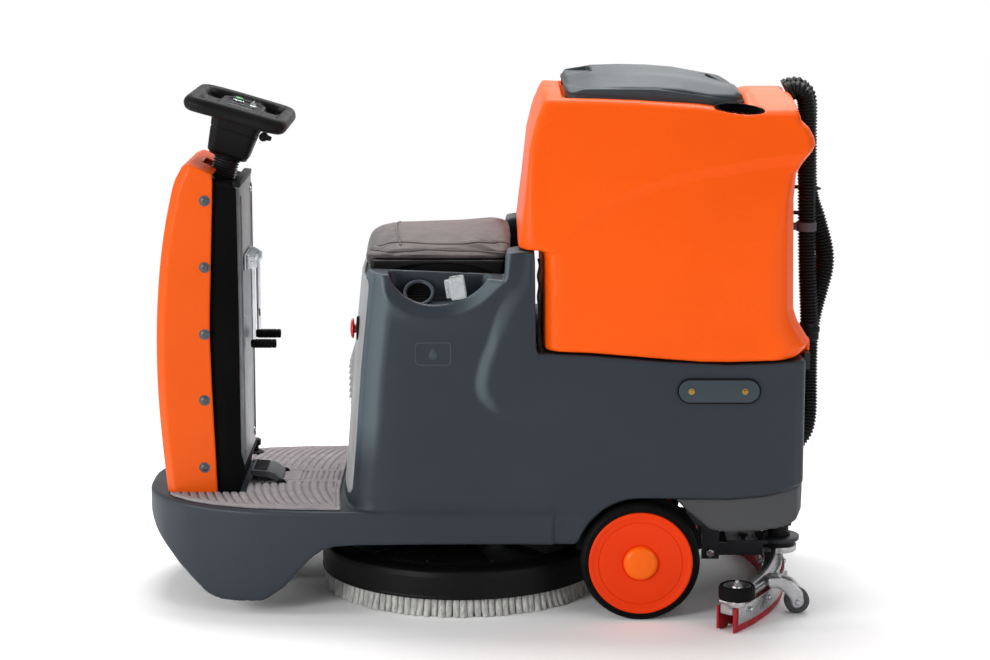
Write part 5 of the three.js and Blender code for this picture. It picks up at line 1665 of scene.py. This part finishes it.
def arc_strip(r0, r1, z0, z1, mat, half=ARC_HALF, steps=160, wave=0.0, notch_every=0,
              name='part'):
    """curved strip between two radii and two heights, rounded along its long edges"""
    section = rounded_rect((r1 - r0) / 2, (z1 - z0) / 2, min(1.0, (r1 - r0) / 2.2), 3,
                           (r0 + r1) / 2, (z0 + z1) / 2)
    count = len(section)
    verts, faces = [], []
    for i in range(steps + 1):
        angle = half * (-1 + 2 * i / steps)
        for r, z in section:
            r = r + wave * math.sin(angle * 41) * unit((z1 - 12 - z) / (z1 - z0))
            raised = notch_every and z < (z0 + z1) / 2 and (i // 2) % notch_every == 0
            verts.append(((ARC_X + r * math.cos(angle)) * MM, r * math.sin(angle) * MM,
                          (z + (3.2 if raised else 0)) * MM))
    for i in range(steps):
        for k in range(count):
            k2 = (k + 1) % count
            faces.append((i * count + k, i * count + k2, (i + 1) * count + k2,
                          (i + 1) * count + k))
    faces.append(tuple(range(count))[::-1])
    faces.append(tuple(steps * count + k for k in range(count)))
    mesh = bpy.data.meshes.new(name)
    mesh.from_pydata(verts, [], faces)
    bm = bmesh.new()
    bm.from_mesh(mesh)
    bmesh.ops.recalc_face_normals(bm, faces=bm.faces)
    bm.to_mesh(mesh)
    bm.free()
    mesh.shade_smooth()
    mesh.set_sharp_from_angle(angle=math.radians(50))
    return link(name, mesh, FINISH[mat])


finish(arc_strip(620.6, 624.8, 0.9, 49, 'blade', wave=0.25, name='blade_rear_strip'),
       'squeegee', 'blade_red', 'squeegee_blade_rear')
finish(arc_strip(583.4, 587.4, 0.9, 49, 'blade', wave=0.25, notch_every=4,
                 name='blade_front_strip'), 'squeegee', 'blade_red', 'squeegee_blade_front')
STRAP_SCREW = [(0, 6.5), (3.2, 6.5, 1), (5.4, 4.5, 1), (5.4, 0.6), (7.4, 0.5), (7.4, -0.4),
               (0, -0.4)]
parts = [arc_strip(625.0, 626.6, 15.5, 50.5, 'alu', half=ARC_HALF * 0.975, steps=80),
         arc_strip(581.8, 583.3, 30, 44, 'bright', half=ARC_HALF * 0.985, steps=80)]
for k in range(-4, 5):
    angle = k * ARC_HALF / 4.6
    c, s = math.cos(angle), math.sin(angle)
    for radius, sign in ((626.4, 1), (582.0, -1)):
        parts.append(revolve(STRAP_SCREW, 'bright', axis=(c * sign, s * sign, 0),
                             origin=(ARC_X + radius * c, radius * s, 37), sides=14, seg=1))
finish(join('blade_straps', parts), 'squeegee', 'bright_steel')

PORT_COLLAR = [(18, 84), (38, 84, 1.5), (38.6, 76.6, 1), (18, 76.6)]
PORT_CUFF = [(18.4, 93.4), (27, 93.4, 1), (27, 99, 1), (24, 101, 1), (24.2, 112), (25.6, 113),
             (25.6, 117), (24.2, 118), (24.2, 128), (25.4, 129, 0.6), (25.2, 134, 1),
             (18.4, 134)]
PORT_NECK = [(18.4, 83.6), (22.8, 83.6), (22.8, 94), (18.4, 94)]
parts = [revolve(profile, 'black', origin=(PORT_X, 0, 0), sides=sides, closed=True, seg=2)
         for profile, sides in ((PORT_COLLAR, 56), (PORT_CUFF, 56), (PORT_NECK, 40))]
finish(join('suction_port', parts), 'squeegee', 'black_plastic', 'squeegee_port')


def star_knob(x, y, z, radius, height):
    def lobes(angle, r, h):
        return 1 + (0.11 * math.cos(5 * angle) if r > radius * 0.6 else 0)
    profile = [(0, z), (radius * 0.45, z), (radius * 0.5, z + height * 0.3),
               (radius * 0.95, z + height * 0.35, 1.5), (radius, z + height * 0.9, 2),
               (radius * 0.5, z + height, 2), (0, z + height)]
    return revolve(profile, 'black', origin=(x, y, 0), sides=60, wave=lobes)


STUD = [(0, 92.6), (3.4, 92.6), (3.4, 117, 1), (0, 118)]
PIVOT_BOLT = [(0, -2), (9, -2, 1), (9, 6, 1), (5, 7), (5, 10, 1), (0, 10)]
PIVOT_BUSH = [(7.4, -7), (13, -7, 1), (14, 0), (13, 7, 1), (7.4, 7)]
parts = []
for s in (-1, 1):
    parts += [star_knob(548, s * 33, 93.4, 13, 16), star_knob(512, s * 30, 93.2, 9, 11),
              revolve(STUD, 'bright', origin=(548, s * 33, 0), sides=14, seg=1),
              revolve(PIVOT_BOLT, 'bright', axis=Y_AXIS, origin=(442, s * 64, 72), sides=6,
                      flip=s, seg=1),
              revolve(PIVOT_BUSH, 'black', axis=Y_AXIS, origin=(442, s * 44, 72), sides=28,
                      closed=True, seg=2)]
finish(join('arm_fittings', parts), 'squeegee_arm', 'black_plastic')

# bumper rollers and casters
ROLLER_TYRE = [(20, 67), (31, 66.6, 2), (34.8, 69.5, 2.5), (35, 78), (35, 88, 2),
               (33.4, 92.5, 2), (29.6, 95, 1), (28, 94, 1), (26.4, 90.5, 1), (20, 90.5)]
ROLLER_DISC = [(6.8, 67.5), (21, 67.5, 1), (26.4, 69.5, 1), (26.8, 92.6, 1), (25, 93.4, 1),
               (18, 89.8, 2), (11, 89.2, 1), (10, 92.5, 1), (6.8, 92.5)]
ROLLER_NUT = [(0, 103), (3.2, 102.6), (3.6, 100), (3.6, 99.4), (7.6, 99.2, 0.6),
              (7.6, 94.4, 0.6), (9.6, 94.2), (9.6, 93.2), (0, 93.2)]
CASTER_TYRE = [(14, -12.5), (20.5, -13.2, 1.5), (24.4, -9.5, 3), (24.5, 0), (24.4, 9.5, 3),
               (20.5, 13.2, 1.5), (14, 12.5)]
CASTER_HUB = [(4.6, -13), (9, -13, 1), (10, -10), (14.2, -9.5), (14.2, 9.5), (10, 10),
              (9, 13, 1), (4.6, 13)]
CASTER_BOLT = [(0, 4.6), (4, 4.4, 1), (6, 2.4, 0.6), (6, 0.6), (8.6, 0.5), (8.6, -0.3),
               (0, -0.3)]
CASTER_PIN = [(0, -17.5), (4.1, -17.5), (4.1, 17.5), (0, 17.5)]
for s, side in SIDES:
    at = (ROLLER_X, s * ROLLER_Y, 0)
    parts = [revolve(ROLLER_TYRE, 'tyre', origin=at, closed=True),
             revolve(ROLLER_DISC, 'alu', origin=at, sides=56, closed=True)]
    roller = 'bumper_roller_' + side
    finish(join('bumper_wheel_' + side, parts), roller, 'rubber_black', roller)
    finish(revolve(ROLLER_NUT, 'bright', origin=at, sides=24, seg=1,
                   name='bumper_nut_' + side), 'squeegee', 'bright_steel')
    place = dict(axis=Y_AXIS, origin=(CASTER_X, s * CASTER_Y, CASTER_Z))
    parts = [revolve(CASTER_TYRE, 'skirt', **place, sides=48, closed=True),
             revolve(CASTER_HUB, 'white', **place, sides=36, closed=True, seg=2)]
    caster = 'squeegee_caster_' + side
    finish(join('caster_wheel_' + side, parts), caster, 'tyre_black', caster)
    parts = [revolve(CASTER_BOLT, 'bright', axis=Y_AXIS, sides=22, flip=k, seg=1,
                     origin=(CASTER_X, s * CASTER_Y + k * 19.3, CASTER_Z)) for k in (-1, 1)]
    parts.append(revolve(CASTER_PIN, 'bright', **place, sides=16))
    finish(join('caster_bolts_' + side, parts), 'squeegee', 'bright_steel')

# ---------------------------------------------------------------- batteries in the seat box
VENT_CAP = [(0, 417), (11, 417), (11.5, 421, 1.5), (9, 424, 1), (3, 424.5), (3, 422), (0, 422)]
POST = [(0, 417), (9, 417), (8, 429, 1), (0, 430)]
POST_RING = [(9.4, 417.6), (14, 417.6), (14, 419.6, 0.8), (9.4, 419.6)]
for s, side in SIDES:
    y0, y1 = sorted((s * 10, s * 183))
    middle = (y0 + y1) / 2
    parts = [block((-212, y0 + 1, 207.6), (64, y1 - 1, 372), 'battery', 5, 3),
             block((-214, y0, 374), (66, y1, 418), 'battery', 4, 3)]
    parts += [revolve(VENT_CAP, 'black', origin=(-176 + 41 * k, middle, 0), sides=24, seg=2)
              for k in range(6)]
    for x, colour in ((-180, 'red'), (30, 'dark')):
        at = (x, s * 150, 0)
        parts += [revolve(POST, 'lead', origin=at, sides=24, seg=2),
                  revolve(POST_RING, colour, origin=at, sides=24, closed=True, seg=1)]
    handle = [(-150, middle - 50, 418), (-150, middle - 40, 440), (-75, middle, 446),
              (0, middle + 40, 440), (0, middle + 50, 418)]
    parts.append(sweep(handle, 4, 'black', ring=10, step=6))
    finish(join('battery_case_' + side, parts), 'chassis', 'black_plastic', 'battery_' + side)
JUMPER = [(30, -150, 428), (36, -120, 436), (30, -60, 446), (-60, 0, 444), (-160, 80, 440),
          (-186, 130, 434), (-180, 150, 428)]
finish(sweep(JUMPER, 4.6, 'cable_red', ring=12, step=5, name='battery_jumper'), 'chassis',
       'red_button')

# ---------------------------------------------------------------- seat pan
pan_side = outline([(-226, 654, 4), (-234, 676, 12), (-231, 690, 4), (26.5, 690, 3),
                    (23, 668, 6), (18, 654, 4)])


def pan_field(points):
    x, y, z = fold(points)
    shape = meet(pan_side(x, z), y - 192, 6)
    arch = np.hypot((x + 100) / 108.0, (z - 650) / 33.5) - 1
    shape = cut(shape, np.maximum(arch * 30, 176 - y), 3)
    return carve(shape, overlap(np.abs(x + 104) - 112, y - 170, z - 683))


finish(solid('seat_pan_tray', pan_field, (-238, -194, 652), (30, 194, 692), 2.8, 'black'),
       'seat', 'black_plastic', 'seat_pan')

# ---------------------------------------------------------------- seat cushion
cushion_side = outline([
    (-222, 691.2, 2), (-224, 684, 3), (-234, 667.5, 5), (-247, 682, 9), (-252, 702, 14),
    (-241, 717, 22), (-216, 727, 30), (-150, 729, 60), (-60, 732, 60), (8, 738, 40),
    (36, 737, 14), (44, 722, 20), (33, 697, 10), (22, 691.5, 6)])
cushion_plan = outline(mirrored([
    (-250, 150, 50), (-215, 189, 40), (-60, 190, 80), (36, 188, 28), (42, 150, 30)]), 3)


def cushion_field(points):
    x, y, z = fold(points)
    droop = 20 * (y / 150) ** 2 * unit((z - 692) / 12)
    shape = meet(cushion_side(x, z + droop), cushion_plan(x, y) + 2, 12)
    return np.maximum(shape, np.where(x > -222, 691.2 - z, -20))


def inflate(ob):
    """pumps the cushion up as cloth, with its foot pinned and the movement capped"""
    remesh = ob.modifiers.new('remesh', 'REMESH')
    remesh.mode = 'VOXEL'
    remesh.voxel_size = 0.0055
    remesh.use_smooth_shade = True
    apply_mods(ob)
    base = read_verts(ob.data)
    pin = ob.vertex_groups.new(name='pin')
    pin.add([i for i, c in enumerate(base) if c[2] < 0.6945], 1.0, 'REPLACE')
    settings = ob.modifiers.new('cloth', 'CLOTH').settings
    settings.use_pressure = True
    settings.uniform_pressure_force = 4
    settings.effector_weights.gravity = 0
    settings.vertex_group_mass = 'pin'
    settings.quality = 4
    settings.tension_stiffness = 18
    settings.compression_stiffness = 18
    settings.bending_stiffness = 0.8
    for number in range(1, 15):
        scene.frame_set(number)
    depsgraph = bpy.context.evaluated_depsgraph_get()
    puffed = bpy.data.meshes.new_from_object(ob.evaluated_get(depsgraph), depsgraph=depsgraph)
    shift = read_verts(puffed) - base
    ob.modifiers.clear()
    scene.frame_set(1)
    length = np.linalg.norm(shift, axis=1)
    most = 0.005
    scale = np.where(length > most, most / np.maximum(length, 1e-9), 1.0)
    new = base + shift * scale[:, None]
    # keep clear of the pan below and inside the cushion's own box
    new[:, 2] = np.where(base[:, 0] > -0.222, np.maximum(new[:, 2], 0.6912),
                         np.maximum(new[:, 2], base[:, 2] - 0.002))
    new[:, 1] = np.clip(new[:, 1], -0.1925, 0.1925)
    new[:, 0] = np.minimum(new[:, 0], 0.0455)
    write_verts(ob.data, new)
    bpy.data.meshes.remove(puffed)
    ob.vertex_groups.clear()
    subdivide = ob.modifiers.new('sub', 'SUBSURF')
    subdivide.levels = subdivide.render_levels = 1
    apply_mods(ob)
    ob.data.shade_smooth()


cushion = solid('seat_cushion_padded', cushion_field, (-256, -194, 662), (46, 194, 744), 4.6,
                'vinyl', 1.6)
inflate(cushion)
finish(cushion, 'seat', 'seat_vinyl', 'seat_cushion')


# seams: a shallow channel pressed into the surface, with a welt running in it
def cast(tree, points, direction):
    """points dropped along a direction onto the cushion; rays that miss leave no point"""
    out = []
    for point in points:
        start = Vector(point) * MM - Vector(direction) * 0.2
        place = tree.ray_cast(start, Vector(direction))[0]
        if place is not None:
            out.append(tuple(place / MM))
    return out


def press_channel(mesh, lines, width, depth):
    coords = read_verts(mesh) / MM
    normals = read_verts(mesh, 'normal')
    best = np.full(len(coords), 1e9)
    for line in lines:
        line = np.array(line)
        for start, end in zip(line[:-1], line[1:]):
            step = end - start
            t = unit(((coords - start) @ step) / (step @ step + 1e-9))
            gap = np.linalg.norm(coords - start - t[:, None] * step, axis=1)
            best = np.minimum(best, gap)
    coords -= normals * (depth * np.exp(-(best / width) ** 2))[:, None]
    write_verts(mesh, coords * MM)


SIDE_SEAM = [(-236, 702), (-205, 704), (-150, 706), (-122, 708), (-60, 706), (0, 704),
             (30, 702)]                                             # x, z
TOP_SEAM = [(-222, 120), (-170, 134), (-110, 148), (-40, 150), (34, 142)]         # x, |y|
CROSS_SEAM = [(-176, -150), (-184, -100), (-190, 0), (-184, 100), (-176, 150)]    # x, y
tree = BVHTree.FromObject(cushion, bpy.context.evaluated_depsgraph_get())
lines = [cast(tree, catmull([(x, s * 250, z) for x, z in SIDE_SEAM], 10), (0, -s, 0))
         for s in (-1, 1)]
lines += [cast(tree, catmull([(x, s * y, 760) for x, y in TOP_SEAM], 10), (0, 0, -1))
          for s in (-1, 1)]
lines.append(cast(tree, catmull([(x, y, 760) for x, y in CROSS_SEAM], 12), (0, 0, -1)))
lines = [line for line in lines if len(line) > 3]       # too few hits make no seam
press_channel(cushion.data, lines, width=4.2, depth=1.7)
finish(join('seat_welts', [sweep(line, 1.25, 'piping', ring=8, step=3.0, smooth=0)
                           for line in lines]), 'seat', 'seat_vinyl')

# ---------------------------------------------------------------- CAD pieces that stay
# node: finish, bevel width in mm, slot
KEPT = {
    'chassis_frame': ('steel', 1.0, 'frame_steel'),
    'lever_bracket': ('chrome', 0.5, 'chrome_bar'),
    'steer_fork': ('steel', 1.5, 'frame_steel'),
    'drive_wheel_motor': ('gear', 1.2, 'frame_steel'),
    'motor_controller': ('gear', 3.0, 'frame_steel'),
    'vacuum_motor': ('gear', 2.0, 'frame_steel'),
    'rear_axle': ('bright', 0.8, 'bright_steel'),
    'brush_lift_arm': ('steel', 1.2, 'frame_steel'),
    'brush_lift_link': ('steel', 1.2, 'frame_steel'),
    'brush_gearmotor': ('gear', 2.0, 'frame_steel'),
    'squeegee_arm': ('steel', 1.5, 'frame_steel'),
    'float_filter': ('white', 1.5, 'frame_steel'),
    'tank_hinge': ('steel', 1.5, 'frame_steel'),
}
for node, (key, width, slot) in KEPT.items():
    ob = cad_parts[node]
    ob.data.materials.clear()
    ob.data.materials.append(FINISH[key])
    weld = ob.modifiers.new('weld', 'WELD')
    weld.merge_threshold = 2e-5
    bevel = ob.modifiers.new('bevel', 'BEVEL')
    bevel.width = width * MM
    bevel.segments = 2
    bevel.limit_method = 'ANGLE'
    bevel.angle_limit = math.radians(38)
    bevel.harden_normals = False


# ---------------------------------------------------------------- studio, metres
def backdrop_material(name):
    """paper that goes to plain white for the camera away from the machine"""
    sh = Shader(name)
    to_camera = sh.node('ShaderNodeLightPath').outputs['Is Camera Ray']
    paper = sh.ramp(sh.noise(scale=0.6, detail=2), (0.3, (0.90, 0.90, 0.90, 1)),
                    (0.7, (0.91, 0.91, 0.91, 1)))
    sh.set(Base_Color=sh.mix(to_camera, paper, (1.10, 1.10, 1.10, 1)),
           Roughness=0.95, Specular_IOR_Level=0.1)
    geometry = sh.node('ShaderNodeNewGeometry')
    distance = sh.node('ShaderNodeVectorMath', operation='LENGTH')
    sh.feed(distance.inputs[0], geometry.outputs['Position'])
    path = sh.node('ShaderNodeLightPath')
    far = sh.multiply(sh.remap(distance.outputs['Value'], (1.05, 2.3), (0, 1)),
                      path.outputs['Is Camera Ray'])
    glow = sh.node('ShaderNodeEmission')
    glow.inputs['Color'].default_value = (1, 1, 1, 1)
    glow.inputs['Strength'].default_value = 1.0
    blend = sh.node('ShaderNodeMixShader')
    sources = (far, sh.bsdf.outputs['BSDF'], glow.outputs['Emission'])
    for socket, source in zip(blend.inputs, sources):
        sh.feed(socket, source)
    sh.feed(sh.tree.nodes['Material Output'].inputs['Surface'], blend.outputs['Shader'])
    return sh.material


# floor that curves up into a wall: (y, z) across, drawn at two x
SWEEP_R = 2.2
wall = [(-7, 0), (3.0, 0)]
wall += [(3.0 + SWEEP_R * math.sin(a), SWEEP_R - SWEEP_R * math.cos(a))
         for a in np.linspace(0, math.pi / 2, 14)[1:]]
wall.append((5.2, 9))
count = len(wall)
bm = bmesh_from([(x, y, z) for x in (-9, 9) for y, z in wall],
                [(i, count + i, count + i + 1, i + 1) for i in range(count - 1)])
mesh = bpy.data.meshes.new('backdrop')
bm.to_mesh(mesh)
bm.free()
mesh.shade_smooth()
link('backdrop', mesh, backdrop_material('backdrop_paper'))

# world: soft white light, plain white to the camera
world = bpy.data.worlds.new('studio')
scene.world = world
world.use_nodes = True
nodes, links = world.node_tree.nodes, world.node_tree.links
light = nodes['Background']
seen = nodes.new('ShaderNodeBackground')
for background, strength in ((light, 0.40), (seen, 1.0)):
    background.inputs['Color'].default_value = (1, 1, 1, 1)
    background.inputs['Strength'].default_value = strength
path = nodes.new('ShaderNodeLightPath')
blend = nodes.new('ShaderNodeMixShader')
links.new(path.outputs['Is Camera Ray'], blend.inputs[0])
links.new(light.outputs[0], blend.inputs[1])
links.new(seen.outputs[0], blend.inputs[2])
links.new(blend.outputs[0], nodes['World Output'].inputs['Surface'])


def area(name, at, target, size, power, size_y=None):
    lamp = bpy.data.lights.new(name, 'AREA')
    lamp.energy = power
    lamp.color = (1, 1, 1)
    lamp.size = size
    if size_y:
        lamp.shape = 'RECTANGLE'
        lamp.size_y = size_y
    ob = bpy.data.objects.new(name, lamp)
    scene.collection.objects.link(ob)
    ob.location = at
    ob.rotation_euler = (Vector(target) - Vector(at)).to_track_quat('-Z', 'Y').to_euler()


area('top_box', at=(0.0, 1.10, 3.3), target=(0, 0.1, 0.3), size=2.8, power=112, size_y=1.7)
area('key_left', at=(-3.2, -3.6, 1.7), target=(0, 0, 0.5), size=1.3, power=92)
area('side_left', at=(-4.2, -1.1, 1.9), target=(0, 0, 0.5), size=1.1, power=46)
area('fill_right', at=(3.2, -3.4, 1.5), target=(0.1, 0, 0.5), size=2.2, power=26)
area('rim_back', at=(1.2, 3.2, 2.6), target=(0, 0, 0.6), size=1.8, power=22)
scene.view_settings.view_transform = 'Standard'
scene.view_settings.look = 'None'
scene.view_settings.exposure = 0.0

# camera on the machine's left, looking slightly down
lens = bpy.data.cameras.new('camera')
lens.lens = 91.73
lens.sensor_width = 36
lens.clip_end = 60
camera = bpy.data.objects.new('camera', lens)
scene.collection.objects.link(camera)
camera.location = (0.007, -5.0, 1.4378)
camera.rotation_euler = (math.radians(90 - 10.424), 0, 0)
scene.camera = camera
